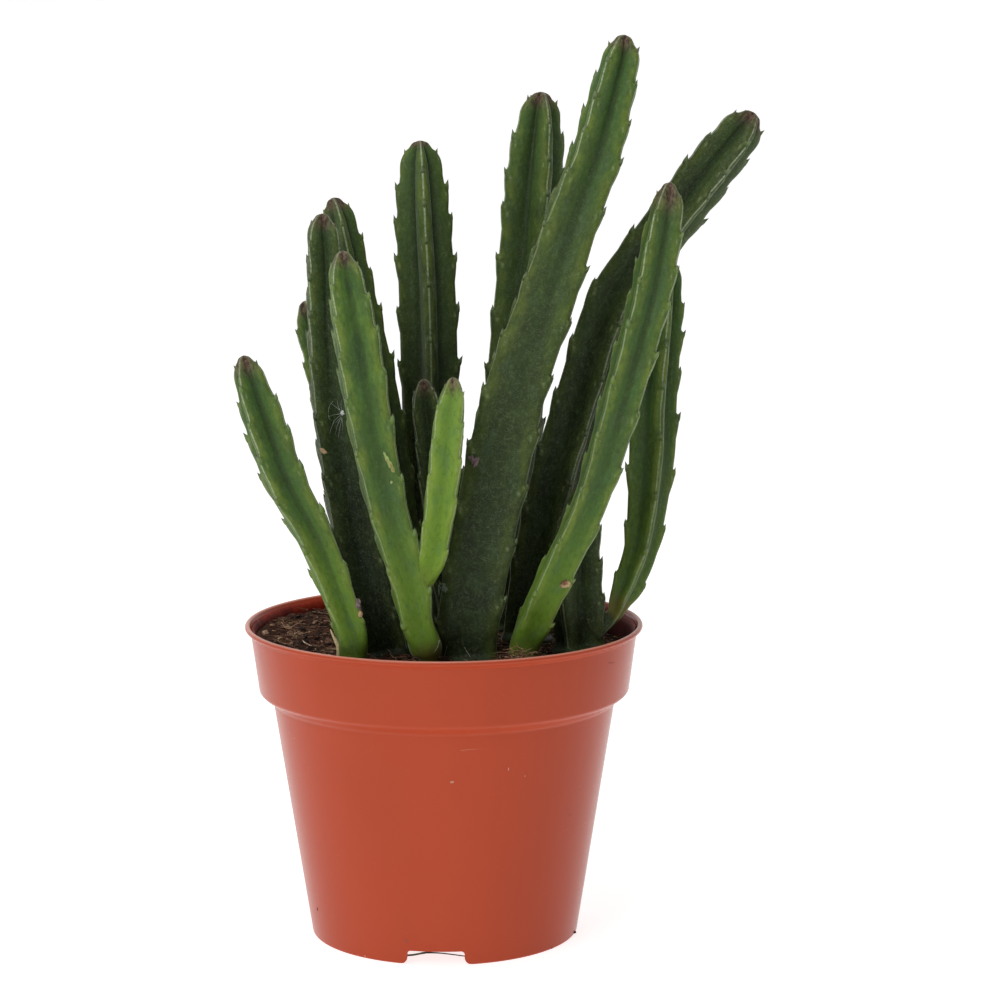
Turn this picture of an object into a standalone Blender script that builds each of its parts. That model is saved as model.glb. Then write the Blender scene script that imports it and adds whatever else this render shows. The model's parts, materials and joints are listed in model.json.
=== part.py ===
"""A potted stapelia: toothed four-ribbed stems standing in a moulded nursery pot.

Units are metres and +Z is up. The origin lies on the surface that the pot stands on, at the
middle of the whole plant's footprint. Seen from the front, the camera looks along +Y.
"""
import math
from typing import NamedTuple

import bmesh
import bpy
from mathutils import Vector

MM = 0.001
GAP = 0.3 * MM                  # left between pieces that touch
MERGE = 0.01 * MM               # points closer than this are one point
SHARP_EDGE = math.radians(35)   # faces that meet at more than this keep a sharp edge

# The tallest stems lean to the right, so the pot stands left of the origin
POT_X = -15.7 * MM

# Nursery pot, 10.5 cm across its rim. Radii are on the outside of the wall.
POT_SIDES = 60
WALL = 1.0 * MM
INNER_LIFT = 0.5 * MM           # keeps the wall as thick where it steps out to the band
RIM_R = 52.5 * MM
RIM_TOP = 83.4 * MM
BEAD_R = 1.15 * MM              # the rounded lip's own radius
LIP_FROM = math.radians(165)    # the lip is round from here, on its inner side,
LIP_TO = math.radians(-75)      # over its top to here, on its underside
LIP_STEPS = 8
BAND_TOP_R = 50.9 * MM
BAND_TOP = 81.0 * MM            # where the wall meets the lip
BAND_LOW_R = 48.9 * MM
BAND_LOW = 66.2 * MM
BODY_TOP_R = 45.1 * MM
BODY_TOP = 62.4 * MM
STEP_BENDS = ((0.35, 0.28), (0.8, 0.62))    # shares of the way out and up to the band
FOOT_R = 35.4 * MM
FOOT_EDGE_UP = 0.8 * MM         # rounding under the wall
FOOT_EDGE_IN = 0.3 * MM
FOOT_RING = 1.5 * MM            # width of the ring that the pot rests on
RING_DRAFT = 0.4 * MM           # the ring's inner side leans out by this
FLOOR_LIFT = 3.9 * MM           # the floor's underside over the ground
FLOOR = 1.0 * MM

# Three slots let water out under the skirt, and round holes let it through the floor
SLOT_COUNT = 3
SLOT_FIRST = math.radians(-94.5)
SLOT_WIDTH = 16.0 * MM
SLOT_HEIGHT = 3.5 * MM
SLOT_CORNER = 1.6 * MM
CORNER_STEPS = 3
ROUND_PROFILE = 0.5             # a bevel's profile that is part of a circle
SLOT_REACH = 7.5 * MM           # the slot's cutter is this long, across the ring
DRAIN_COUNT = 6
DRAIN_R = 3.0 * MM
DRAIN_SIDES = 12
DRAIN_RING_R = 22.0 * MM
DRAIN_REACH = 4.0 * MM          # the drain's cutter is this long, through the floor

# Soil: its level over the pot's axis, and how far it drops towards the right-hand side
SOIL_TOP = 78.2 * MM
SOIL_SLOPE = 0.045
SOIL_BUMP = 0.45 * MM
LUMP_LENGTHS = (15.3 * MM, 18.0 * MM)       # from one lump to the next, along X and Y
CRUMB_LENGTHS = (6.8 * MM, 10.1 * MM)       # the same for the smaller lumps
CRUMB_SHARE = 0.6               # a small lump's height, as a share of a large one's
LUMP_PHASES = (0.6, 0.3, 1.1)
SOIL_SIDES = 40
SOIL_RINGS = 5
HOLE_SIDES = 16
FOOT_DEPTH = 11.5 * MM          # how deep a stem's foot goes below the level over the axis

# Stems: a ring of points has a crest, two shoulders and a groove for each rib
RIBS = 4
SHOULDER = math.radians(14)     # the shoulders' turn from the crest
CREST_SHARPNESS = 1.8
CREST_DIP = 0.35 * MM           # the crest is lower between its teeth
TOOTH_OUT = 1.1 * MM
TOOTH_UP = 2.0 * MM
FULL_TOOTH_R = 6.0 * MM         # the teeth are smaller where the ribs' radius is under this
NOTCH_IN = 0.3 * MM             # the notch above a tooth
NOTCH_UP = 1.5 * MM
SWELL = 0.04                    # the shoulders swell beside a tooth
TIP_PITCH = 4.4 * MM            # from one ring of teeth to the next, at the tip
STEM_PITCH = 7.4 * MM           # and further down
TIP_ZONE = 16.0 * MM            # the teeth stand closest in this length under the tip
STEM_ZONE = 45.0 * MM           # and are evenly spaced below this length
FIRST_TEETH = 4.0 * MM          # from the tip to the ring of the highest teeth
TIP_ROUND = 4.0 * MM            # the stem is rounded off over this length
CROWN = 1.2 * MM                # from the tip to the plain ring above the highest teeth
RIB_START = 12.0 * MM           # a stem is round at the soil and fully ribbed this far up
FIRST_RING = 3.0 * MM           # from the soil to the plain ring under the lowest teeth
TOOTHED_PAIRS = ((0, 2), (1, 3))            # opposite ribs carry teeth by turns, from the tip
ROUTE_STEPS = 16                # points on the curve between two route points

# Each finish is a colour and a roughness
OLD_SKIN = ((0.031, 0.060, 0.020), 0.55)
YOUNG_SKIN = ((0.100, 0.190, 0.036), 0.5)
TERRACOTTA = ((0.520, 0.090, 0.042), 0.4)
PEAT = ((0.045, 0.026, 0.016), 0.95)


class Stem(NamedTuple):
    """One grown stem. Its route runs from the soil to the tip.

    A route point is x, y, height and rib radius in millimetres, from the pot's axis on the
    ground. The turns are the plan angles of one rib, in degrees, at the foot and at the tip.
    The groove is the section's radius between the ribs, as a share of the rib radius.
    """
    route: tuple
    turns: tuple
    groove: float
    skin: tuple


STEMS = {
    "stem_far_left": Stem(
        ((-23, -35, 80.5, 3.5), (-24, -35, 89, 4.7), (-32, -35, 111, 5.8), (-40, -35, 127, 6.4),
         (-45, -35, 142, 6.1), (-48.5, -35, 153, 4.3), (-50, -35, 158.5, 2.6)),
        (-30, -30), 0.62, YOUNG_SKIN),
    "stem_left_hidden": Stem(
        ((-19, 1, 79.5, 4), (-22, 1, 95, 5), (-25, 1, 111, 5.2), (-29.5, 2, 141, 5.1),
         (-34, 3, 162, 4.6), (-36.5, 3, 168.5, 2.6)),
        (-60, -60), 0.55, OLD_SKIN),
    "stem_left_tall": Stem(
        ((-15, -18, 79.5, 7.6), (-19.5, -18, 95, 8.7), (-24, -17, 119, 8.3), (-27.5, -16, 139, 7.4),
         (-29.5, -15, 160, 6.4), (-30, -14, 180, 5.6), (-30.5, -14, 188, 4.6),
         (-30.5, -14, 192.5, 3)),
        (-40, -40), 0.5, OLD_SKIN),
    "stem_left_back": Stem(
        ((-9, -3, 79.5, 4.8), (-12, -2, 106, 5.8), (-17, -1, 140, 5.7), (-22.5, 0, 169, 5.4),
         (-26.5, 1, 188, 4.3), (-28.5, 2, 195.5, 2.6)),
        (20, 20), 0.55, OLD_SKIN),
    "stem_front_forked": Stem(
        ((-4, -34, 80, 2.2), (-4.5, -34, 83, 4.4), (-7, -34, 90.5, 5.3), (-9, -34, 101, 6),
         (-14.5, -34, 121, 6.5), (-18.5, -34, 142, 7.1), (-21.5, -34, 162, 7),
         (-24, -34, 177, 5.2), (-25, -34, 184.5, 3)),
        (-38, -38), 0.7, YOUNG_SKIN),
    "stem_small_middle": Stem(
        ((2, -8, 79.5, 3.5), (-1, -9, 107, 4.6), (-3.5, -10, 133, 4.7), (-4.5, -10, 143, 4.3),
         (-5, -10, 149.5, 2.6)),
        (-45, -45), 0.6, OLD_SKIN),
    "stem_middle_back": Stem(
        ((-2, 10, 79.5, 7), (-2.5, 10, 109, 8), (-3, 9, 141, 8.1), (-3.5, 8, 168, 8.1),
         (-4.5, 7, 189, 7.4), (-5, 7, 202, 5.7), (-5.5, 7, 210, 3.2)),
        (20, 20), 0.5, OLD_SKIN),
    "stem_right_back": Stem(
        ((14, 20, 79, 7.3), (17, 18, 113, 8.6), (19.5, 15, 146, 8.8), (22.5, 12, 178, 8.7),
         (24.5, 10, 203, 8), (25.5, 9, 216, 5.6), (26, 9, 222.5, 3.4)),
        (27, 27), 0.5, OLD_SKIN),
    "stem_tallest": Stem(
        ((6.5, -23, 79, 7.7), (6.5, -23, 89, 8.6), (10, -22, 109, 8.8), (14.5, -21, 130, 8.9),
         (19.5, -20, 150, 8.5), (26.5, -20, 170.5, 8.2), (33, -20, 191, 7.8),
         (38.5, -20, 206, 7.4), (42.5, -20, 221, 6.5), (45, -20, 231, 5.2),
         (46, -20, 237.5, 3.2)),
        (-20, -37), 0.5, OLD_SKIN),
    "stem_right_leaning": Stem(
        ((22, 2, 79, 6.9), (25.5, 3, 99, 7.9), (31, 4, 123, 8.2), (37.5, 4, 144.5, 8.1),
         (45, 4, 168, 7.8), (57, 4, 185, 7.6), (67.5, 4, 199, 7.4), (77, 4, 211, 6.2),
         (81.5, 4, 217, 3.6)),
        (20, 20), 0.5, OLD_SKIN),
    "stem_front_right": Stem(
        ((20.5, -22, 79.5, 3.9), (23.5, -24, 88.5, 5), (28, -26, 99, 5.3), (37.5, -27, 120, 5.4),
         (45.5, -28, 147, 6.1), (52, -28, 171, 6.1), (55, -28, 186, 5.6), (56.5, -28, 195, 4.3),
         (57, -28, 201, 2.6)),
        (-38, -38), 0.7, YOUNG_SKIN),
    "stem_far_right_forked": Stem(
        ((35.5, -13, 79, 7.2), (34.5, -12, 91, 7.9), (34.5, -12, 102, 7), (35.5, -12, 112, 5.6),
         (37, -12, 119, 4.2), (37.5, -12, 123, 2.8)),
        (-29, -29), 0.5, OLD_SKIN),
}

# A branch grows out of the stem that it is named for, and is one piece with it
BRANCHES = {
    "stem_front_forked": Stem(
        ((-8, -34, 92, 2.4), (-4.5, -34.5, 100, 2.8), (-2.5, -35, 108.5, 4.6),
         (0, -36, 126.5, 5.1), (1.5, -36, 142, 4.6), (2.5, -36, 149, 3.4),
         (2.5, -36, 153, 2.4)),
        (-45, -45), 0.72, YOUNG_SKIN),
    "stem_far_right_forked": Stem(
        ((39.5, -15, 84.5, 2.6), (44.5, -15.5, 87, 2.3), (46.5, -14, 90.5, 3.4),
         (48.5, -12, 96.5, 4.2), (52, -8, 106.5, 5), (54.5, -3, 127, 6.5), (55.5, 4, 142, 6.6),
         (57.5, 11, 162, 6.2), (59, 15, 173, 4.4), (59.5, 16, 179, 2.6)),
        (16, 16), 0.55, OLD_SKIN),
}


def clear_scene():
    """Remove the objects that a new Blender file starts with."""
    for old in list(bpy.data.objects):
        bpy.data.objects.remove(old, do_unlink=True)


def new_collection(name):
    made = bpy.data.collections.new(name)
    bpy.context.scene.collection.children.link(made)
    return made


def new_material(name, finish):
    colour, roughness = finish
    made = bpy.data.materials.new(name)
    made.use_nodes = True
    shader = made.node_tree.nodes["Principled BSDF"]
    shader.inputs["Base Color"].default_value = (*colour, 1.0)
    shader.inputs["Roughness"].default_value = roughness
    shader.inputs["Metallic"].default_value = 0.0
    return made


def add_object(name, mesh, home, material=None):
    """Make an object that stands at the pot's place, and give it its material."""
    made = bpy.data.objects.new(name, mesh)
    made.location = (POT_X, 0, 0)
    home.objects.link(made)
    if material:
        mesh.materials.append(material)
    return made


def mesh_of(work, name):
    """Turn a bmesh into a mesh with smooth sides and sharp edges."""
    mesh = bpy.data.meshes.new(name)
    work.to_mesh(mesh)
    work.free()
    mesh.shade_smooth()
    mesh.set_sharp_from_angle(angle=SHARP_EDGE)
    return mesh


def cut(target, operation, **operand):
    modifier = target.modifiers.new(operation.lower(), "BOOLEAN")
    modifier.operation = operation
    for key, value in operand.items():
        setattr(modifier, key, value)


def as_cutter(made):
    made.hide_render = True
    made.display_type = "WIRE"
    return made


def polar(radius, angle, height):
    return Vector((radius * math.cos(angle), radius * math.sin(angle), height))


def turned_mesh(name, profile, sides):
    """Turn a profile of (radius, height) points, which starts and ends on the axis."""
    mesh = bpy.data.meshes.new(name)
    edges = [(i, i + 1) for i in range(len(profile) - 1)]
    mesh.from_pydata([(r, 0, z) for r, z in profile], edges, [])
    made = bpy.data.objects.new(name, mesh)
    bpy.context.scene.collection.objects.link(made)
    screw = made.modifiers.new("turn", "SCREW")
    screw.steps = screw.render_steps = sides
    screw.use_merge_vertices = True
    screw.merge_threshold = MERGE
    bpy.context.view_layer.update()
    evaluated = made.evaluated_get(bpy.context.evaluated_depsgraph_get())
    solid = bpy.data.meshes.new_from_object(evaluated)
    bpy.data.objects.remove(made)
    bpy.data.meshes.remove(mesh)
    solid.name = name
    return solid


def step_outside():
    """The wall's outside from the top of the body out to the band, round two soft bends."""
    out = BAND_LOW_R - BODY_TOP_R
    up = BAND_LOW - BODY_TOP
    bends = [(BODY_TOP_R + out * share_out, BODY_TOP + up * share_up)
             for share_out, share_up in STEP_BENDS]
    return [(BODY_TOP_R, BODY_TOP)] + bends + [(BAND_LOW_R, BAND_LOW)]


def wall_inside():
    """The pot's inner wall as (radius, height) points, from the floor to the lip."""
    floor_top = FLOOR_LIFT + FLOOR
    flare = (BODY_TOP_R - FOOT_R) / BODY_TOP
    corner = (FOOT_R + flare * floor_top - WALL, floor_top)
    step = [(r - WALL, z + INNER_LIFT) for r, z in step_outside()]
    return [corner] + step + [(BAND_TOP_R - WALL, BAND_TOP)]


def pot_profile():
    """From the middle of the floor up the inside, over the lip and down the outside."""
    lip = []
    for i in range(LIP_STEPS + 1):
        turn = LIP_FROM + (LIP_TO - LIP_FROM) * i / LIP_STEPS
        lip.append((RIM_R - BEAD_R + BEAD_R * math.cos(turn),
                    RIM_TOP - BEAD_R + BEAD_R * math.sin(turn)))
    foot = [
        (FOOT_R, FOOT_EDGE_UP),
        (FOOT_R - FOOT_EDGE_IN, 0),
        (FOOT_R - FOOT_RING, 0),
        (FOOT_R - FOOT_RING + RING_DRAFT, FLOOR_LIFT),
        (0, FLOOR_LIFT),
    ]
    outside = [(BAND_TOP_R, BAND_TOP)] + step_outside()[::-1] + foot
    return [(0, FLOOR_LIFT + FLOOR)] + wall_inside() + lip + outside


def make_pot(home, cutters):
    plastic = new_material("moulded polypropylene", TERRACOTTA)
    pot = add_object("pot", turned_mesh("pot", pot_profile(), POT_SIDES), home, plastic)
    pot.data.shade_smooth()
    pot.data.set_sharp_from_angle(angle=SHARP_EDGE)
    holes = new_collection("pot cutters")
    cutters.children.link(holes)
    bpy.context.scene.collection.children.unlink(holes)
    for i in range(SLOT_COUNT):
        add_slot(f"slot_{i + 1}", SLOT_FIRST + i * math.tau / SLOT_COUNT, holes)
    for i in range(DRAIN_COUNT):
        add_drain(f"drain_{i + 1}", (i + 0.5) * math.tau / DRAIN_COUNT, holes)
    cut(pot, "DIFFERENCE", operand_type="COLLECTION", collection=holes)


def add_slot(name, turn, home):
    """A box through the skirt, rounded where the slot's roof meets its ends."""
    work = bmesh.new()
    bmesh.ops.create_cube(work, size=1.0)
    for vert in work.verts:
        vert.co.x = FOOT_R + vert.co.x * SLOT_REACH
        vert.co.y *= SLOT_WIDTH
        vert.co.z *= SLOT_HEIGHT * 2
    roof_ends = [
        edge for edge in work.edges
        if all(vert.co.z > 0 for vert in edge.verts)
        and abs(edge.verts[0].co.y - edge.verts[1].co.y) < MERGE
    ]
    bmesh.ops.bevel(work, geom=roof_ends, offset=SLOT_CORNER, segments=CORNER_STEPS,
                    affect="EDGES", profile=ROUND_PROFILE)
    slot = as_cutter(add_object(name, mesh_of(work, name), home))
    slot.rotation_euler.z = turn


def add_drain(name, turn, home):
    work = bmesh.new()
    bmesh.ops.create_cone(work, cap_ends=True, segments=DRAIN_SIDES, radius1=DRAIN_R,
                          radius2=DRAIN_R, depth=DRAIN_REACH)
    centre = polar(DRAIN_RING_R, turn, FLOOR_LIFT + FLOOR / 2)
    bmesh.ops.translate(work, verts=work.verts, vec=centre)
    as_cutter(add_object(name, mesh_of(work, name), home))


def soil_height(x, y):
    """The soil's surface: a slope with small lumps on it."""
    lump_x, lump_y = LUMP_LENGTHS
    crumb_x, crumb_y = CRUMB_LENGTHS
    lumps = (math.sin(math.tau * x / lump_x + LUMP_PHASES[0])
             * math.cos(math.tau * y / lump_y + LUMP_PHASES[1]))
    crumbs = math.sin(math.tau * (x / crumb_x + y / crumb_y) + LUMP_PHASES[2])
    bump = (lumps + CRUMB_SHARE * crumbs) / (1 + CRUMB_SHARE)
    return SOIL_TOP - SOIL_SLOPE * x + SOIL_BUMP * bump


def wall_radius(height):
    """The pot's inner radius at a height within its band."""
    (low_r, low), (high_r, high) = wall_inside()[-2:]
    return low_r + (high_r - low_r) * (height - low) / (high - low)


def make_soil(home, cutters):
    """Fill the pot, with a plain hole for each stem's foot."""
    side = [(r - GAP, z) for r, z in wall_inside()[:-1]]
    bottom = side[0][1] + GAP
    side[0] = (side[0][0], bottom)
    edge_r = wall_radius(SOIL_TOP) - GAP
    top = [(edge_r * i / SOIL_RINGS, SOIL_TOP) for i in range(SOIL_RINGS + 1)]
    mesh = turned_mesh("soil", top + side[::-1] + [(0, bottom)], SOIL_SIDES)
    for vert in mesh.vertices:
        if vert.co.z < SOIL_TOP - MERGE:
            continue
        vert.co.z = soil_height(vert.co.x, vert.co.y)
        share = (wall_radius(vert.co.z) - GAP) / edge_r
        vert.co.x *= share
        vert.co.y *= share
    mesh.shade_smooth()
    soil = add_object("soil", mesh, home, new_material("peat and coir", PEAT))
    holes = new_collection("soil cutters")
    cutters.children.link(holes)
    bpy.context.scene.collection.children.unlink(holes)
    for name, stem in STEMS.items():
        x, y, _, foot_r = (value * MM for value in stem.route[0])
        radius = (foot_r + GAP) / math.cos(math.pi / HOLE_SIDES)
        depth = FOOT_DEPTH * 2
        work = bmesh.new()
        bmesh.ops.create_cone(work, cap_ends=True, segments=HOLE_SIDES, radius1=radius,
                              radius2=radius, depth=depth)
        bottom = SOIL_TOP - FOOT_DEPTH - GAP
        bmesh.ops.translate(work, verts=work.verts, vec=(x, y, bottom + depth / 2))
        as_cutter(add_object(f"{name}_hole", mesh_of(work, f"{name}_hole"), holes))
    cut(soil, "DIFFERENCE", operand_type="COLLECTION", collection=holes)


def catmull_rom(a, b, c, d, t):
    """The point a share t of the way from b to c, on a smooth curve through all four."""
    return 0.5 * ((2 * b) + (c - a) * t + (2 * a - 5 * b + 4 * c - d) * t * t
                  + (3 * b - a - 3 * c + d) * t ** 3)


def walk(route, upright):
    """Follow a smooth curve through the route.

    Returns a list of (distance, point, rib radius). An upright stem leaves the soil
    straight up, because its foot stands in a plain hole.
    """
    stations = [(Vector((x, y, z)) * MM, r * MM) for x, y, z, r in route]
    first, first_r = stations[0]
    second, second_r = stations[1]
    before = first - Vector((0, 0, (second - first).length)) if upright else 2 * first - second
    last, last_r = stations[-1]
    ahead = 2 * last - stations[-2][0]
    points = [(before, first_r)] + stations + [(ahead, last_r)]
    path = []
    for i in range(1, len(points) - 2):
        (a, ar), (b, br), (c, cr), (d, dr) = points[i - 1:i + 3]
        for k in range(ROUTE_STEPS):
            t = k / ROUTE_STEPS
            radius = catmull_rom(ar, br, cr, dr, t)
            path.append((catmull_rom(a, b, c, d, t), max(radius, min(br, cr))))
    path.append((last, last_r))
    travelled = 0.0
    measured = []
    for i, (point, radius) in enumerate(path):
        if i:
            travelled += (point - path[i - 1][0]).length
        measured.append((travelled, point, radius))
    return measured


def look_up(path, distance):
    """The point, the rib radius and the direction at a distance along the path."""
    for (s0, p0, r0), (s1, p1, r1) in zip(path, path[1:]):
        if distance <= s1:
            break
    share = min(max((distance - s0) / (s1 - s0), 0), 1)
    return p0.lerp(p1, share), r0 + (r1 - r0) * share, (p1 - p0).normalized()


def smooth_share(value):
    value = min(max(value, 0), 1)
    return value * value * (3 - 2 * value)


def ring_distances(length, lowest):
    """Distances from the foot to the rings that carry teeth, from the tip down."""
    found = []
    under_tip = FIRST_TEETH
    while length - under_tip > lowest:
        found.append(length - under_tip)
        widening = smooth_share((under_tip - TIP_ZONE) / (STEM_ZONE - TIP_ZONE))
        under_tip += TIP_PITCH + (STEM_PITCH - TIP_PITCH) * widening
    return found


def section_radius(rib_radius, groove, turn):
    """A star's radius: a crest on each rib, and a hollow face between two ribs."""
    crest = (0.5 + 0.5 * math.cos(RIBS * turn)) ** CREST_SHARPNESS
    return rib_radius * (groove + (1 - groove) * crest)


def ring_turns():
    """The kind, the rib and the turn of each point round a ring."""
    quarter = math.tau / RIBS
    for rib in range(RIBS):
        turn = rib * quarter
        yield "crest", rib, turn
        yield "shoulder", rib, turn + SHOULDER
        yield "groove", rib, turn + quarter / 2
        yield "shoulder", (rib + 1) % RIBS, turn + quarter - SHOULDER


class StemLoft:
    """Builds one stem ring by ring, from its foot to its tip."""

    def __init__(self, stem, upright=True):
        self.stem = stem
        self.upright = upright
        self.path = walk(stem.route, upright)
        self.length = self.path[-1][0]
        self.work = bmesh.new()
        self.below = None

    def frame(self, distance):
        point, radius, along = look_up(self.path, distance)
        start, end = self.stem.turns
        turn = math.radians(start + (end - start) * distance / self.length)
        across = Vector((math.cos(turn), math.sin(turn), 0))
        across = (across - along * across.dot(along)).normalized()
        return point, radius, along, across, along.cross(across)

    def add_ring(self, distance, toothed_ribs=()):
        """Add a ring. A toothed crest has a tooth's point and the notch above it."""
        point, rib_radius, along, across, aside = self.frame(distance)
        under_tip = min(self.length - distance, TIP_ROUND)
        rib_radius *= math.sqrt(under_tip * (2 * TIP_ROUND - under_tip)) / TIP_ROUND
        grown = smooth_share(distance / RIB_START)
        groove = 1 + (self.stem.groove - 1) * grown
        lower, upper = [], []
        for kind, rib, turn in ring_turns():
            out = across * math.cos(turn) + aside * math.sin(turn)
            radius = section_radius(rib_radius, groove, turn)
            if kind == "crest" and rib in toothed_ribs:
                size = min(1, rib_radius / FULL_TOOTH_R)
                tooth = point + out * (radius + TOOTH_OUT * size) + along * TOOTH_UP * size
                notch = point + out * (radius - NOTCH_IN) + along * NOTCH_UP * size
                lower.append(self.work.verts.new(tooth))
                upper.append(self.work.verts.new(notch))
                continue
            if kind == "crest" and toothed_ribs:
                radius -= CREST_DIP
            if kind == "shoulder" and rib in toothed_ribs:
                radius *= 1 + SWELL
            vert = self.work.verts.new(point + out * radius)
            lower.append(vert)
            upper.append(vert)
        self.join_to_below(lower)
        self.close_teeth(lower, upper)
        self.below = upper

    def join_to_below(self, lower):
        if not self.below:
            self.work.faces.new(list(reversed(lower)))
            return
        count = len(lower)
        for i in range(count):
            j = (i + 1) % count
            self.work.faces.new((self.below[i], self.below[j], lower[j], lower[i]))

    def close_teeth(self, lower, upper):
        count = len(lower)
        for i in range(count):
            if lower[i] is not upper[i]:
                self.work.faces.new((lower[i - 1], lower[i], upper[i]))
                self.work.faces.new((lower[i], lower[(i + 1) % count], upper[i]))

    def add_foot(self):
        """A plain round foot straight down into the soil's hole."""
        x, y, _, foot_r = (value * MM for value in self.stem.route[0])
        bottom = Vector((x, y, SOIL_TOP - FOOT_DEPTH))
        _, _, _, across, aside = self.frame(0)
        ring = []
        for _, _, turn in ring_turns():
            out = across * math.cos(turn) + aside * math.sin(turn)
            flat = Vector((out.x, out.y, 0)).normalized()
            ring.append(self.work.verts.new(bottom + flat * foot_r))
        self.join_to_below(ring)
        self.below = ring

    def close_tip(self):
        tip = self.work.verts.new(self.path[-1][1])
        count = len(self.below)
        for i in range(count):
            self.work.faces.new((self.below[i], self.below[(i + 1) % count], tip))

    def build(self, name):
        if self.upright:
            self.add_foot()
        self.add_ring(0)
        self.add_ring(FIRST_RING)
        toothed = ring_distances(self.length, FIRST_RING + TIP_PITCH)
        for count, distance in reversed(list(enumerate(toothed))):
            self.add_ring(distance, TOOTHED_PAIRS[count % 2])
        self.add_ring(self.length - CROWN)
        self.close_tip()
        bmesh.ops.recalc_face_normals(self.work, faces=self.work.faces)
        return mesh_of(self.work, name)


def make_stems(home, cutters):
    skins = {
        OLD_SKIN: new_material("old stem skin", OLD_SKIN),
        YOUNG_SKIN: new_material("young stem skin", YOUNG_SKIN),
    }
    for name, stem in STEMS.items():
        made = add_object(name, StemLoft(stem).build(name), home, skins[stem.skin])
        if name in BRANCHES:
            branch_name = f"{name}_branch"
            mesh = StemLoft(BRANCHES[name], upright=False).build(branch_name)
            branch = as_cutter(add_object(branch_name, mesh, cutters))
            cut(made, "UNION", object=branch)


def main():
    clear_scene()
    home = new_collection("potted stapelia")
    cutters = new_collection("cutters")
    make_pot(home, cutters)
    make_soil(home, cutters)
    make_stems(home, cutters)


main()
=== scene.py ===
"""A potted stapelia: toothed four-ribbed stems in a moulded terracotta-coloured nursery pot.

Units are metres and +Z is up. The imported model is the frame: its nodes give the places and the
sizes, and the pieces made here stand for them with a finer surface and a finish.
"""
import json
import math
import random
from functools import partial
from typing import NamedTuple

import bmesh
import bpy
import numpy as np
from bpy.props import FloatProperty, FloatVectorProperty, IntProperty, PointerProperty
from mathutils import Matrix, Vector, noise
from mathutils.kdtree import KDTree

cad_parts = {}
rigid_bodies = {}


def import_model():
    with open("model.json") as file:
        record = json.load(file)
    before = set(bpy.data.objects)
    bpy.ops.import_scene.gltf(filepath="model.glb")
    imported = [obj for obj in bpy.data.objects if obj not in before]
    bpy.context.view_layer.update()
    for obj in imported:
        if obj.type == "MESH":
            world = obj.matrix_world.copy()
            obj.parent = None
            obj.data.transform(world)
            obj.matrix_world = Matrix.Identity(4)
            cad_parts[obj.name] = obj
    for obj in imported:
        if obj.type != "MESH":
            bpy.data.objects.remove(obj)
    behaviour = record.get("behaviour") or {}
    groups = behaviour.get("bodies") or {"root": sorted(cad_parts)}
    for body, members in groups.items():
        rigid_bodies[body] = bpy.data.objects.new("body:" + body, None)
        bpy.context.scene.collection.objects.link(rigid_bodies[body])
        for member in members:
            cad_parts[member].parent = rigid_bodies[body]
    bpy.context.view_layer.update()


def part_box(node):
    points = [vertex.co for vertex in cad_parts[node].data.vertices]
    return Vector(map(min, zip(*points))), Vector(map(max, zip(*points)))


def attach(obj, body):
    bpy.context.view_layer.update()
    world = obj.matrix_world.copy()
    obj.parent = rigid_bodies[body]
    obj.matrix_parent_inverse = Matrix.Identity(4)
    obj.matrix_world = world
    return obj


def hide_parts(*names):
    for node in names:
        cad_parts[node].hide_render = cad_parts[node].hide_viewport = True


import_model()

bl_info = {
    "name": "Potted stapelia",
    "version": (1, 0, 0),
    "blender": (4, 5, 0),
    "location": "3D View > Sidebar > Stapelia",
    "description": "Builds a potted stapelia piece by piece around its packed solids",
    "category": "Object",
}

MM = 0.001
TINY = 1e-6
POINT_VALUES = ("relief", "grain", "growth", "tone")    # three numbers each, at a stem's points
BODY = "root"                   # nothing moves, so every piece rides on the one body
POT_LOW, POT_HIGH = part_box("pot")
POT_X = (POT_LOW.x + POT_HIGH.x) / 2
RIM_TOP = POT_HIGH.z
RIM_R = (POT_HIGH.x - POT_LOW.x) / 2
SOIL_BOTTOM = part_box("soil")[0].z

# The pot's wall, as its solid has it. Radii are on the outside.
BAND_TOP_R = 50.9 * MM
BAND_TOP = 81.0 * MM
BAND_LOW_R = 48.9 * MM
BAND_LOW = 66.2 * MM
BODY_TOP_R = 45.1 * MM
BODY_TOP = 62.4 * MM
FOOT_R = 35.4 * MM
FOOT_EDGE = 0.6 * MM
FOOT_RING = 1.5 * MM
RING_DRAFT = 0.4 * MM
FLOOR_LIFT = 3.9 * MM
FLOOR = 1.0 * MM
WALL = 1.0 * MM
POT_SIDES = 256
LIP_START, LIP_END = 165, -75   # degrees round the lip's section, where the wall meets it
LIP_FACES = 20
FILM_LOW = 74.5 * MM            # a dark film of painted shade lines the inner wall between these heights
FILM_TOP = 82.3 * MM
FILM_GAP = 0.16 * MM            # the film stands this far off the wall
FILM_THICK = 0.1 * MM
FILM_FRAY = 0.25 * MM           # its upper edge wanders by this
FILM_CUTS = 11
WALL_WAVES = 22                 # the wall's wander from round, in waves a metre

# Its slots, as the photograph shows them, and its drains
SLOT_COUNT = 3
SLOT_FIRST = math.radians(-93.9)
SLOT_WIDTH = 14.8 * MM
SLOT_HEIGHT = 3.85 * MM
SLOT_FLARE = 2.1 * MM           # the slot's sides curve outwards at the ground
SLOT_REACH = 8.0 * MM           # length of its cutter, across the foot's wall
SLOT_CORNER = 0.9 * MM          # rounding of its roof
SLOT_CORNER_FACES = 5
SLOT_CUTS = 29
DRAIN_COUNT = 6
DRAIN_R = 3.0 * MM
DRAIN_RING_R = 22.0 * MM
DRAIN_SIDES = 40
SHARP_ANGLE = math.radians(32)  # the pot's edges that are sharper than this stay sharp

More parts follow.
